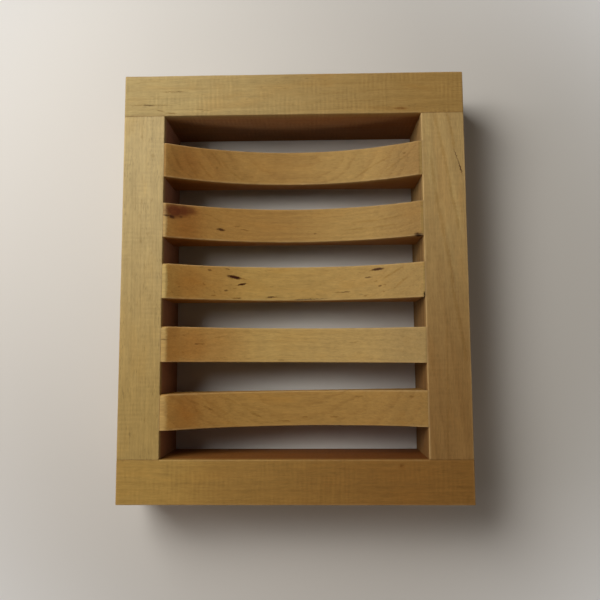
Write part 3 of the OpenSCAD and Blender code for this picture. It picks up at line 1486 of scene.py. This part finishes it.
@dataclass
class RailFrame:
    """The four rails.

    Attributes:
        holes: the dowel holes.
        slat_spans: on each side, each slat's low side, high side and how much its seam shows.
    """

    holes: DowelHoles
    slat_spans: dict[Side, list[tuple[float, float, float]]]

    # Each rail's fades are painted light and shade along it, partly its own drift; the painted shade share
    # darkens its inner face
    back = WoodFinish(
        pale=(172, 143, 88), deep=(136, 104, 54), warm=(169, 130, 70), pith=(44, -52), lean=(0.4, 0.9),
        ring=1.5, contrast=0.32, wavy=0.5, dashes=0.5, ripple=1.0, seed=2,
        inside=(0.82, 0.58, 0.62), fades=((1.03, 1.16, 1.4), (0.88, 0.81, 0.7)),
    )
    front = WoodFinish(
        pale=(151, 109, 53), deep=(121, 80, 33), warm=(155, 109, 50), patches=0.35, pith=(-40, -46),
        lean=(0.2, -0.5), ring=1.3, contrast=0.3, wavy=0.4, dashes=0.25, ripple=0.7, seed=3,
        inside=(0.66, 0.44, 0.37), half=38.0, fades=((1.16, 1.36, 1.5), (0.9, 0.9, 0.92)),
    )
    left = WoodFinish(
        pale=(184, 159, 109), deep=(154, 126, 76), warm=(180, 147, 86), pith=(70, 4), lean=(0.3, 0.5),
        ring=1.1, contrast=0.3, wavy=0.5, dashes=0.6, ripple=0.6, seed=4,
        inside=(0.76, 0.5, 0.7), fades=((0.86, 0.81, 0.63), (1.0, 1.06, 1.17)),
    )
    # The right rail's edges are paler, partly as a painted highlight
    right = WoodFinish(
        pale=(172, 141, 90), deep=(138, 101, 56), warm=(170, 128, 72), pith=(-34, -30), lean=(1, 9),
        ring=3.0, contrast=0.3, wavy=0.8, dashes=0.2, ripple=0.4, seed=5, rub=0.7,
        inside=(0.67, 0.62, 0.61), fades=((0.74, 0.64, 0.54), (1.12, 1.19, 1.25)),
    )
    back_marks = (
        *spots(Kind.FLECK, (-42.7, 53.2, 3.9, 0.51, -4, 22, 0.6),
               (-33.6, 57.3, 2.7, 0.34, 1, 22, 0.3), (-26.6, 51.1, 0.9, 0.34, -1, 22, 0.3), soft=1.0),
        *spots(Kind.FAINT, (-42.4, 53.3, 14.9, 0.37, -1, 22, 0.7),
               (-35.6, 57.3, 8.1, 0.31, 0, 22, 0.7), (-39.4, 51.5, 3.0, 0.39, -19, 22, 0.7),
               (-36.1, 50.7, 3.6, 0.45, -3, 22, 0.8), (-26.6, 51.6, 5.1, 0.34, -5, 22, 0.7),
               (31.8, 51.3, 2.6, 0.45, 0, 22, 0.6)),
        *spots(Kind.BLUSH, (31.8, 51.3, 4.7, 0.85, 0, 22, 0.8), soft=1.0),
    )
    left_marks = tuple(
        Mark(Kind.FAINT, x, y, length, width, turn=91, strength=strength, soft=1.0)
        for x, y, length, width, strength in (
            (-44.6, 43.6, 1.8, 0.7, 0.33), (-42.5, 42.6, 1.5, 0.6, 0.33),
            (-41.3, 37.8, 1.5, 1.3, 0.38), (-44.2, 24.0, 2.4, 0.6, 0.28),
            (-41.3, 24.5, 1.5, 0.6, 0.33), (-42.3, 14.4, 1.5, 1.0, 0.33),
            (-44.3, 12.4, 1.5, 0.9, 0.38), (-43.0, 4.8, 2.0, 0.6, 0.38),
            (-41.3, -4.0, 2.0, 0.6, 0.38), (-44.5, -16.3, 1.7, 0.6, 0.33),
            (-47.4, 45.7, 2.1, 0.6, 0.28), (-41.3, 9.1, 1.8, 0.6, 0.28),
            (-45.0, 20.1, 2.7, 0.6, 0.28), (-46.4, 2.5, 2.6, 0.5, 0.28),
            (-45.1, -5.7, 2.3, 0.5, 0.28), (-42.1, -38.9, 2.2, 0.6, 0.28),
            (-45.1, -43.3, 1.9, 0.6, 0.28), (-46.5, -31.9, 2.5, 0.6, 0.22),
        )
    )
    right_marks = (
        *trail(Kind.FLECK, 0.34, 0.75, (46.9, 38.4), (47.7, 36.0), (48.4, 33.8), (48.9, 31.4)),
        *spots(Kind.FLECK, (48.6, 33.2, 3.2, 0.5, -74, 22, 0.8)),
        *trail(Kind.LINE, 1.1, 0.75, (41.4, 49.1), (42.4, 44.5), (43.2, 40.6), (44.2, 35.5),
               (45.2, 30.1), (45.9, 25.0), (46.9, 20.0), (47.6, 14.8)),
        *trail(Kind.LINE, 0.9, 0.9, (45.2, 49.6), (45.9, 46.0), (46.6, 42.3), (47.0, 38.8)),
        *trail(Kind.LINE, 1.2, 0.7, (40.2, 36.1), (41.1, 27.2), (41.8, 22.1), (42.8, 17.1),
               (43.5, 11.9), (44.5, 6.6), (45.1, 2.6), (45.4, -2.0), (46.0, -5.7), (46.6, -8.9),
               (47.3, -14.0), (48.1, -18.2), (48.5, -22.4)),
        *trail(Kind.LINE, 0.9, 0.5, (43.4, -12.5), (43.2, -22.4), (43.1, -33.5), (42.7, -48.6)),
        *trail(Kind.BRIGHT, 1.5, 0.28, (46.2, 27.7), (47.2, 22.7), (48.2, 17.1), (48.9, 13.0)),
        *trail(Kind.BRIGHT, 1.5, 0.28, (42.9, 23.6), (43.9, 17.7), (45.2, 11.0), (46.1, 3.7),
               (46.7, -2.6)),
        *trail(Kind.BRIGHT, 1.2, 0.2, (39.3, 48.2), (39.4, 41.5), (39.8, 34.0), (39.7, 28.1)),
        *spots(Kind.BRIGHT, (37.6, 14, 64, 2, 90, 7.0, 0.7), (37.6, -44, 16, 2, 90, 9.0, 0.6),
               soft=1.0, depth=3.0),
        *spots(Kind.FAINT, (37.6, 2, 110, 2, 90, 13.4, 0.5), (37.6, -4, 110, 2, 90, 18.0, 0.55),
               (37.6, 20, 60, 2, 90, 3.2, 0.5), soft=1.0, depth=1.0),
    )
    front_marks = (
        *spots(Kind.BLUSH, (29.9, -51.7, 2.2, 1.6, 20, 22, 0.4), soft=1.0),
        *spots(Kind.FAINT, (29.8, -51.6, 1.0, 0.7, 20, 22, 0.5)),
        # Painted light: the broad bright patch over the front rail's left end
        *spots(Kind.BRIGHT, (-44, -56, 44, 60, 0, 22, 0.62), soft=1.2, depth=60),
    )

    def rails(self) -> list[Rail]:
        """Makes the rails with their holes: back, front, left and right.

        Returns:
            The rails.
        """
        made: list[Rail] = []
        # An end rail is met from the side rails' inner faces to past its own ends
        corners = ((-60.0, RAIL_FACES[0], 1.0), (RAIL_FACES[1], 60.0, 1.0))
        looks = ((self.back, self.back_marks), (self.front, self.front_marks))
        for end, (finish, marks) in zip(End, looks):
            bores = tuple(pair[end.value] for side in Side for pair in self.holes.corner(side, end))
            made.append(EndRail(f"end_rail_{end.word}", "end_rail_wood", finish, marks, bores, corners))
        looks = ((self.left, self.left_marks), (self.right, self.right_marks))
        for side, (finish, marks) in zip(Side, looks):
            bores = [pair[1 - end.value] for end in End for pair in self.holes.corner(side, end)]
            bores += [self.holes.slat(number, side)[side.value] for number in SLAT_NUMBERS]
            rail = SideRail(f"side_rail_{side.word}", "side_rail_wood", finish, marks, tuple(bores))
            rail.joints = tuple(self.slat_spans[side])
            made.append(rail)
        return made


@dataclass
class SlatRow:
    """The five slats, from the back one to the front one.

    Attributes:
        holes: the dowel holes.
        wide: width of a slat.
        turns: each slat's turn as built, in degrees.
        drifts: how far each hollow lies to the right.
        softs: how softly each hollow meets its flats.
        slacks: gap at each slat's front right corner.
        seams: how much each slat's seams show, left and right.
        chips: breaks in each slat's edges.
    """

    holes: DowelHoles
    wide: float = SLAT_WIDTH
    turns: tuple[float, ...] = (-0.17, -0.09, -0.07, -0.41, 0.69)
    drifts: tuple[float, ...] = (-0.24, 0.0, 0.24, 0.48, 0.68)
    softs: tuple[float, ...] = (0.03, 0.03, 0.04, 0.08, 0.16)
    slacks: tuple[float, ...] = (0.0, 0.0, 0.35, 0.0, 0.0)
    seams: tuple[tuple[float, float], ...] = ((0.9, 0.5), (1.0, 0.6), (1.0, 1.0), (1.0, 0.3), (1.0, 0.15))
    chips: tuple[tuple[Chip, ...], ...] = (
        (), (Chip(36.2, -1, 1.0, 0.28),), (Chip(-37.4, 1, 1.2, 0.2),), (Chip(-37.4, 1, 1.4, 0.3),),
        (Chip(-37.2, 1, 1.6, 0.3),),
    )

    # Painted shade: what is left of each colour on the slats' faces that look to the front
    shade = (1.0, 0.74, 0.57)

    finishes = (
        WoodFinish(
            pale=(162, 126, 70), deep=(126, 87, 42), warm=(162, 120, 59), pith=(14, -52), lean=(0.4, 0.8),
            ring=1.5, contrast=0.4, wavy=0.7, seed=6,
            inside=shade, fades=((1.0, 0.98, 0.92), (1.0, 1.04, 1.12)),
        ),
        WoodFinish(
            pale=(162, 125, 68), deep=(130, 91, 43), warm=(162, 119, 58), pith=(50, -10), lean=(-0.4, -0.5),
            ring=1.6, contrast=0.3, wavy=0.7, dashes=0.4, seed=7,
            inside=shade, fades=((1.03, 0.97, 0.88), (0.97, 1.03, 1.14)),
        ),
        WoodFinish(
            pale=(181, 148, 85), deep=(147, 108, 53), warm=(179, 137, 66), pith=(22, -30), lean=(0.6, 0.4),
            ring=1.8, contrast=0.28, wavy=1.0, dashes=0.5, seed=8,
            inside=shade, fades=((1.07, 1.06, 0.98), (0.93, 0.94, 1.02)),
        ),
        WoodFinish(
            pale=(190, 158, 96), deep=(154, 118, 63), warm=(186, 146, 76), patches=0.25, pith=(-60, -12),
            lean=(0.4, -0.5), ring=1.8, contrast=0.25, wavy=0.7, seed=9,
            inside=shade, fades=((1.12, 1.1, 1.04), (0.87, 0.89, 0.96)),
        ),
        WoodFinish(
            pale=(175, 136, 73), deep=(135, 93, 42), warm=(176, 127, 56), pith=(14, -32), lean=(-0.6, 0.8),
            ring=1.6, contrast=0.36, seed=10,
            inside=shade, fades=((1.1, 1.09, 1.08), (0.9, 0.91, 0.93)),
        ),
    )
    # Broad warm, faint and dull patches here are painted shade, broad bright ones painted light, those on
    # flats painted highlights
    marks = (
        (
            *spots(Kind.BLUSH, (-33.5, 36.5, 23, 22, 0, 18.3, 0.76),
                   (-27, 36.5, 22, 40, 0, 16.5, 0.42), soft=1.1, depth=4.9),
            *spots(Kind.FAINT, (-35.2, 36.5, 5, 30, 0, 20.9, 0.28), soft=1.1, depth=3),
            *spots(Kind.PALE, (-38, 36.6, 2.6, 16, 0, 22.0, 0.14), **FLAT),
            *spots(Kind.BRIGHT, (38, 36.4, 2.6, 13, 0, 22.0, 1.0), **FLAT),
            *spots(Kind.DULL, (34, 36.5, 24, 40, 0, 20.5, 0.3), **BROAD),
            *trail(Kind.LINE, 0.95, 0.75, (-31.8, 37.4, 19.2), (-30.4, 35.1, 18.5),
                   (-28.4, 32.0, 17.7)),
            *trail(Kind.LINE, 0.95, 0.75, (-28.4, 37.2, 17.7), (-26.7, 34.6, 17.1),
                   (-24.7, 32.6, 16.4)),
            *trail(Kind.LINE, 0.95, 0.75, (-25.1, 40.7, 16.5), (-23.0, 38.1, 15.8),
                   (-21.8, 36.0, 15.5)),
            *trail(Kind.LINE, 0.95, 0.65, (-21.9, 38.5, 15.5), (-19.8, 35.5, 14.9),
                   (-15.6, 32.3, 13.9)),
            *trail(Kind.LINE, 0.95, 0.65, (-34.8, 37.5, 20.6), (-33.7, 35.3, 20.0),
                   (-32.6, 33.3, 19.5)),
            *trail(Kind.BRIGHT, 0.9, 0.3, (15.5, 32.5, 14.1), (20.0, 35.6, 15.2), (25.9, 38.3, 17.1)),
            *spots(Kind.BRIGHT, (18, 36.5, 42, 30, 0, 15, 0.6), **BROAD),
            *trail(Kind.LINE, 0.75, 0.7, (19.4, 33.1, 15.0), (23.6, 35.8, 16.3), (28.2, 37.9, 18.0)),
            *trail(Kind.LINE, 0.75, 0.7, (27.3, 33.5, 17.6), (30.7, 36.0, 19.1), (33.8, 37.9, 20.5)),
            *spots(Kind.FAINT, (32.7, 38.4, 0.9, 0.6, 12, 20.0, 0.8),
                   (-23.3, 35.9, 0.9, 0.6, -60, 15.9, 0.6)),
        ),
        (
            *spots(Kind.BLUSH, (-33.5, 18.5, 18, 30, 0, 18.3, 0.82),
                   (-31.8, 21.5, 12.5, 5.4, -3, 19.3, 0.85), soft=1.1, depth=4.4),
            *spots(Kind.BRIGHT, (18, 18.5, 42, 30, 0, 15, 0.6), **BROAD),
            *spots(Kind.DULL, (34, 18.5, 24, 40, 0, 20.5, 0.22), **BROAD),
            *spots(Kind.PALE, (-38, 18.6, 3.0, 13, 0, 22.0, 1.0), **FLAT),
            *spots(Kind.BRIGHT, (38, 18.4, 2.6, 13, 0, 22.0, 0.8), **FLAT),
            *spots(Kind.STAIN, (-34.9, 21.6, 7.0, 5.2, -4, 20.9, 1.0),
                   (-32.7, 21.8, 5.4, 4.4, -6, 19.9, 0.92), (-31.2, 22.0, 5.8, 3.0, -10, 19.2, 0.75),
                   soft=0.9, depth=5),
            *spots(Kind.FLECK, (-36.9, 19.95, 2.8, 0.7, -9, 21.8, 0.85),
                   (-35.6, 19.7, 2.3, 1.3, -17, 21.2, 0.9), (-33.2, 19.9, 1.1, 0.8, 6, 19.9, 0.5),
                   soft=1.0),
            *spots(Kind.FLECK, (-22.0, 16.9, 2.6, 0.9, -8, 15.6, 0.9),
                   (6.3, 16.0, 1.4, 0.5, -2, 12.7, 0.5), (36.2, 13.6, 2.9, 1.3, -12, 21.6, 0.95),
                   soft=0.8),
            *spots(Kind.CRACK, (36.5, 13.4, 2.4, 0.8, -12, 21.8, 0.8), soft=0.9, depth=1.5),
            *spots(Kind.FAINT, (-17.3, 18.1, 2.4, 0.4, -1, 14.3, 0.8),
                   (-14.9, 17.1, 2.7, 0.4, -11, 13.8, 0.8)),
            *trail(Kind.LINE, 0.75, 0.7, (15.3, 16.8, 14.0), (22.7, 16.9, 15.9), (30.1, 17.4, 18.7)),
            *trail(Kind.LINE, 0.75, 0.7, (19.2, 19.0, 14.9), (25.6, 19.1, 16.9), (31.8, 19.9, 19.4)),
            *trail(Kind.LINE, 0.75, 0.6, (-26.6, 22.0, 17.1), (-24.3, 20.6, 16.3), (-21.7, 19.3, 15.5)),
        ),
        (
            *spots(Kind.BLUSH, (-33, 0.5, 26, 22, 0, 18, 1.0), (-27, 0.5, 29, 40, 0, 16.5, 0.6),
                   soft=1.1, depth=5),
            *spots(Kind.BLUSH, (-35.3, 0.5, 6.5, 26, 0, 20.4, 0.6), soft=0.6, depth=1.7),
            *spots(Kind.FAINT, (-35, 0.5, 7, 30, 0, 20.8, 0.33), soft=1.1, depth=3),
            *spots(Kind.DULL, (34, 0.5, 24, 40, 0, 20.5, 0.3), **BROAD),
            *spots(Kind.PALE, (-38, 0.7, 4.0, 13, 0, 22.0, 0.6), **FLAT),
            *spots(Kind.BRIGHT, (38, 0.7, 1.8, 13, 0, 22.0, 0.4), **FLAT),
            *spots(Kind.FLECK, (-18.0, 2.6, 4.4, 1.1, -11, 14.6, 1.0),
                   (-15.7, 0.5, 2.7, 0.65, 10, 14.1, 1.0), (24.8, 4.4, 3.6, 0.9, 6, 16.5, 0.95),
                   soft=0.7),
            *spots(Kind.FLECK, (-20.4, -1.4, 1.2, 0.55, 1, 15.2, 0.7),
                   (-25.0, 4.5, 1.3, 0.5, -6, 16.6, 0.65), (-19.9, 5.0, 1.4, 0.45, -7, 15.0, 0.6),
                   (-16.6, -3.8, 1.2, 0.35, 1, 14.2, 0.5), (-7.1, -3.3, 2.5, 0.5, 2, 12.7, 0.8),
                   (22.0, 2.1, 2.2, 0.5, 1, 15.6, 0.7), (25.3, -0.6, 1.0, 0.5, 6, 16.7, 0.7),
                   (15.4, -2.0, 2.7, 0.4, 3, 14.0, 0.6)),
            *spots(Kind.FAINT, (-16.9, 2.4, 6.4, 0.5, -11, 14.3, 0.9),
                   (-16.0, 0.4, 4.4, 0.4, 10, 14.1, 0.8), (-27.2, 5.4, 1.4, 0.4, 14, 17.5, 0.8),
                   (-17.8, -0.7, 1.2, 0.4, 1, 14.5, 0.7), (-23.8, -3.0, 1.6, 0.4, 2, 16.2, 0.9),
                   (-17.2, -3.7, 3.2, 0.4, 1, 14.4, 1.0), (-6.5, -3.3, 4.5, 0.4, 2, 12.7, 0.8),
                   (-35.2, -2.4, 1.0, 0.6, 3, 21.1, 0.7), (-33.3, -0.9, 0.7, 0.6, 3, 20.1, 0.7),
                   (-26.6, 0.3, 1.1, 0.6, -40, 17.2, 0.6), (24.2, 4.2, 4.8, 0.5, 6, 16.3, 0.8),
                   (24.2, 0.9, 1.4, 0.5, 18, 16.3, 0.7), (26.6, -0.3, 0.8, 0.4, 5, 17.2, 0.7),
                   (13.9, -2.1, 4.1, 0.4, 3, 13.7, 0.7), (21.2, -3.3, 1.7, 0.4, 13, 15.4, 0.8),
                   (26.4, -2.3, 1.0, 0.4, 8, 17.1, 0.7)),
            *trail(Kind.LINE, 0.75, 1.0, (26.5, 1.7, 17.1), (28.7, 2.9, 18.0), (31.5, 4.6, 19.2)),
            *trail(Kind.LINE, 0.75, 0.8, (29.7, -1.2, 18.4), (31.4, 0.5, 19.2), (32.8, 1.3, 19.8)),
            *spots(Kind.CRACK, (4.9, -4.0, 11.4, 0.34, 1, 12.6, 0.9),
                   (1.6, -4.1, 3.6, 0.4, 1, 12.4, 0.8), soft=0.9, depth=1.2),
            *spots(Kind.CRACK, (37.3, -3.7, 0.6, 1.6, 4, 22.0, 1.0)),
        ),
        (
            *spots(Kind.BLUSH, (-32, -18, 28, 22, 0, 17.6, 1.05), (-27, -18, 36, 40, 0, 16.5, 0.68),
                   soft=1.1, depth=6),
            *spots(Kind.BLUSH, (-35.3, -17.8, 7, 26, 0, 20.4, 0.95), soft=0.6, depth=1.7),
            *spots(Kind.FAINT, (-36, -18, 11, 30, 0, 20.5, 0.4), soft=1.1, depth=5),
            *spots(Kind.DULL, (34, -18, 26, 40, 0, 20.5, 0.46), **BROAD),
            *spots(Kind.PALE, (-38, -17.6, 5.0, 13, 0, 22.0, 0.32), **FLAT),
            *spots(Kind.FLECK, (-28.5, -17.4, 1.2, 0.5, -4, 18.0, 0.4),
                   (-37.1, -16.2, 2.5, 0.3, 0, 22.0, 0.6)),
            *spots(Kind.FAINT, (-27.5, -17.4, 2.5, 0.4, -2, 17.7, 0.7),
                   (-31.9, -14.9, 0.9, 0.5, 1, 19.5, 0.6), (-32.1, -19.8, 0.9, 0.5, 0, 19.6, 0.6),
                   (-4.1, -22.2, 2.4, 0.4, 0, 12.5, 0.8), (-22.0, -15.3, 4.0, 0.4, 9, 15.7, 0.5),
                   (17.9, -17.0, 3.5, 0.4, 3, 14.5, 0.5)),
        ),
        (
            *spots(Kind.BLUSH, (-32.5, -37, 17, 22, 0, 18.2, 0.86), (-27, -37, 20, 40, 0, 16.5, 0.32),
                   soft=1.1, depth=4.8),
            *spots(Kind.BLUSH, (-34.6, -37, 5.5, 26, 0, 20.3, 0.5), soft=0.6, depth=1.6),
            *spots(Kind.FAINT, (-34, -37, 6, 30, 0, 20.2, 0.15), soft=1.1, depth=3),
            *spots(Kind.DULL, (34, -36.5, 26, 40, 0, 20.5, 0.46), **BROAD),
            *spots(Kind.PALE, (-38, -37.0, 5.8, 13, 0, 22.0, 0.4), **FLAT),
            *spots(Kind.BRIGHT, (38, -36.0, 1.4, 13, 0, 22.0, 0.35), **FLAT),
            *spots(Kind.FLECK, (-24.3, -36.4, 2.5, 0.6, -30, 16.6, 0.12),
                   (-15.3, -37.9, 1.0, 0.4, -1, 14.0, 0.2), soft=1.0),
            *spots(Kind.FAINT, (-25.1, -36.0, 3.9, 0.7, -26, 16.8, 0.55),
                   (-28.7, -34.3, 3.3, 0.6, -27, 18.2, 0.4), (-11.5, -38.3, 4.1, 0.5, -23, 13.3, 0.4),
                   (-3.0, -40.1, 4.1, 0.4, 0, 12.5, 0.7), (2.9, -39.0, 2.1, 0.4, 0, 12.4, 0.7),
                   (11.5, -38.9, 2.9, 0.5, 1, 13.2, 0.7), (18.8, -32.9, 2.9, 0.5, 6, 14.6, 0.7),
                   (33.4, -32.7, 1.6, 0.7, -9, 19.9, 0.7)),
            *trail(Kind.LINE, 0.75, 0.5, (-34.2, -32.8, 20.8), (-30.0, -34.9, 18.8),
                   (-26.2, -38.2, 17.2)),
            *trail(Kind.LINE, 0.75, 0.5, (-28.4, -32.7, 18.1), (-24.0, -34.8, 16.5),
                   (-19.5, -38.1, 15.1)),
            *trail(Kind.LINE, 0.75, 0.45, (-21.3, -32.6, 15.6), (-16.1, -35.3, 14.2),
                   (-9.7, -39.2, 13.1)),
        ),
    )

    def slats(self) -> list[Slat]:
        """Makes the slats with their holes, in order.

        Returns:
            The slats.
        """
        made = []
        for n, (finish, marks, chips) in enumerate(zip(self.finishes, self.marks, self.chips)):
            bores = tuple(self.holes.slat(n + 1, side)[1 - side.value] for side in Side)
            made.append(Slat(
                f"slat_{n + 1}", "slat_wood", finish, marks, bores, turn=self.turns[n],
                drift=self.drifts[n], soft=self.softs[n], wide=self.wide, chips=chips,
                slack=self.slacks[n], shows=self.seams[n],
            ))
        return made

    def spans(self) -> dict[Side, list[tuple[float, float, float]]]:
        """Where the slats' ends meet the side rails.

        The middle of an end is that of the slat, plus or minus half the opening between the
        rails times the tangent of the slat's turn.

        Returns:
            On each side, each slat's low side, high side and how much its seam shows.
        """
        half_opening = (RAIL_FACES[1] - RAIL_FACES[0]) / 2
        made: dict[Side, list[tuple[float, float, float]]] = {side: [] for side in Side}
        for slat in self.slats():
            for side in Side:
                y = slat.middle[1] + side.sign * half_opening * math.tan(math.radians(slat.turn))
                made[side].append((y - self.wide / 2, y + self.wide / 2, slat.shows[side.value]))
        return made


@dataclass
class DowelSet:
    """All the dowels, which the rails and slats hide.

    Attributes:
        finish: how their wood looks.
    """

    finish: WoodFinish = WoodFinish(
        pale=(196, 164, 112), deep=(156, 118, 70), warm=(184, 140, 84), pith=(6, -9), ring=1.6,
        contrast=0.4, dashes=0.4, seed=12,
    )

    def dowels(self) -> list[Dowel]:
        """Makes the dowels, corners first.

        Returns:
            The dowels.
        """
        nodes = [corner_dowel(end, side, level) for end in End for side in Side for level in Level]
        nodes += [slat_dowel(number, side) for number in SLAT_NUMBERS for side in Side]
        return [Dowel(node, "dowel_wood", self.finish) for node in nodes]


# Camera, floor and light

@dataclass(frozen=True)
class Lamp:
    """A square soft lamp that faces the dish.

    Attributes:
        name: its name.
        place: where it stands, in metres.
        size: its side.
        power: its power in watts.
        colour: its colour.
    """

    name: str
    place: tuple[float, float, float]
    size: float
    power: float
    colour: tuple[float, float, float]

    def make(self) -> None:
        """Hangs the lamp, turned from straight down towards the middle of the dish."""
        data = bpy.data.lights.new(self.name, "AREA")
        data.shape, data.size, data.energy, data.color = "SQUARE", self.size, self.power, self.colour
        made = bpy.data.objects.new(self.name, data)
        bpy.context.scene.collection.objects.link(made)
        x, y, z = self.place
        made.location = self.place
        made.rotation_mode = "XYZ"
        made.rotation_euler = (0, math.atan2(math.hypot(x, y), z), math.atan2(y, x))


@dataclass
class Studio:
    """Camera, floor and light.

    Attributes:
        place: where the camera stands, in millimetres.
        lean: its turns about X, Y and Z, in radians, Z first.
        lens, sensor: its focal length and its sensor's width, in millimetres.
        nearest: the nearest that it sees, in metres.
        floor_half: half the floor's side, in metres.
        floor_down: how far the floor lies under the dish, in metres.
        floor_turn: from and to which distance from the middle, in metres, it turns to an even tone.
        floor_lit: its colour where the lamps light it.
        floor_even: its even tone.
        floor_bounce: its colour for the light that it throws back.
        lamps: the main lamp, above the back left, and weak low ones in front, right and left.
        sky: strength of the even light from all round.
        sky_colour: its colour.
        backdrop, backdrop_lit: colour and strength of what is seen past the floor.
    """

    place: tuple[float, float, float] = (6.019, -22.5, 197.297)
    lean: tuple[float, float, float] = (0.0987, 0.0237, -0.00687)
    lens: float = 36.98
    sensor: float = 36.0
    nearest: float = 0.01
    floor_half: float = 1.5
    floor_down: float = 2e-5
    floor_turn: tuple[float, float] = (0.085, 0.21)
    floor_lit: tuple[float, float, float] = (0.72, 0.705, 0.68)
    floor_even: tuple[float, float, float] = (0.774, 0.765, 0.747)
    floor_bounce: tuple[float, float, float] = (0.13, 0.07, 0.04)
    lamps: tuple[Lamp, ...] = (
        Lamp("key", (-0.15, 0.12, 0.24), 0.18, 0.76, (1.0, 0.965, 0.9)),
        Lamp("fill", (0.02, -0.62, 0.12), 0.35, 0.8, (1.0, 0.88, 0.74)),
        Lamp("side", (0.62, 0.0, 0.07), 0.3, 0.5, (1.0, 0.88, 0.76)),
        Lamp("low", (-0.5, 0.0, 0.19), 0.25, 0.42, (1.0, 0.86, 0.86)),
    )
    sky: float = 0.05
    sky_colour: tuple[float, float, float] = (1.0, 0.84, 0.68)
    backdrop: tuple[float, float, float] = (0.86, 0.85, 0.83)
    backdrop_lit: float = 0.9

    def camera(self) -> None:
        """Sets up the camera at the photograph's viewing angle."""
        data = bpy.data.cameras.new("camera")
        data.sensor_width, data.lens, data.clip_start = self.sensor, self.lens, self.nearest
        made = bpy.data.objects.new("camera", data)
        bpy.context.scene.collection.objects.link(made)
        made.rotation_mode = "ZYX"
        made.rotation_euler = self.lean
        made.location = [x * MM for x in self.place]
        bpy.context.scene.camera = made

    def floor(self) -> None:
        """Lays a pale floor, which turns to the backdrop's even tone and throws little light back."""
        mesh = bpy.data.meshes.new("floor")
        signs = ((-1, -1), (1, -1), (1, 1), (-1, 1))
        corners = [(x * self.floor_half, y * self.floor_half, -self.floor_down) for x, y in signs]
        mesh.from_pydata(corners, [], [(0, 1, 2, 3)])
        made = bpy.data.objects.new("floor", mesh)
        bpy.context.scene.collection.objects.link(made)
        finish = bpy.data.materials.new("floor_finish")
        g = Graph(finish)
        away = g.vector("LENGTH", g.node("TexCoord", out="Object"), out="Value")
        lit = g.node("BsdfDiffuse", None, {"Color": (*self.floor_lit, 1)})
        even = g.node("Emission", None, {"Color": (*self.floor_even, 1)})
        pale = g.node("MixShader", None, {0: g.ramp(away, *self.floor_turn), 1: lit, 2: even})
        dim = g.node("BsdfDiffuse", None, {"Color": (*self.floor_bounce, 1)})
        shown = g.node("MixShader", None, {0: g.seen(), 1: dim, 2: pale})
        g.node("OutputMaterial", None, {"Surface": shown})
        mesh.materials.append(finish)

    def light(self) -> None:
        """Hangs the lamps and sets the even light from all round."""
        for lamp in self.lamps:
            lamp.make()
        world = bpy.data.worlds.new("sky")
        bpy.context.scene.world = world
        g = Graph(world)
        dim = g.node("Background", None, {"Color": (*self.sky_colour, 1), "Strength": self.sky})
        pale = g.node("Background", None, {"Color": (*self.backdrop, 1), "Strength": self.backdrop_lit})
        shown = g.node("MixShader", None, {0: g.seen(), 1: dim, 2: pale})
        g.node("OutputWorld", None, {"Surface": shown})

    def make(self) -> None:
        """Sets up everything round the dish, and shows colours plainly."""
        self.camera()
        self.floor()
        self.light()
        bpy.context.scene.view_settings.view_transform = "Standard"


def main() -> None:
    """Builds the dish and its studio."""
    logging.basicConfig(level=logging.INFO, format="%(message)s")
    Studio().make()
    holes = DowelHoles()
    row = SlatRow(holes)
    pieces = [*RailFrame(holes, row.spans()).rails(), *row.slats(), *DowelSet().dowels()]
    for piece in pieces:
        piece.make()
    log.info("%d pieces", len(pieces))


if __name__ == "__main__":
    main()
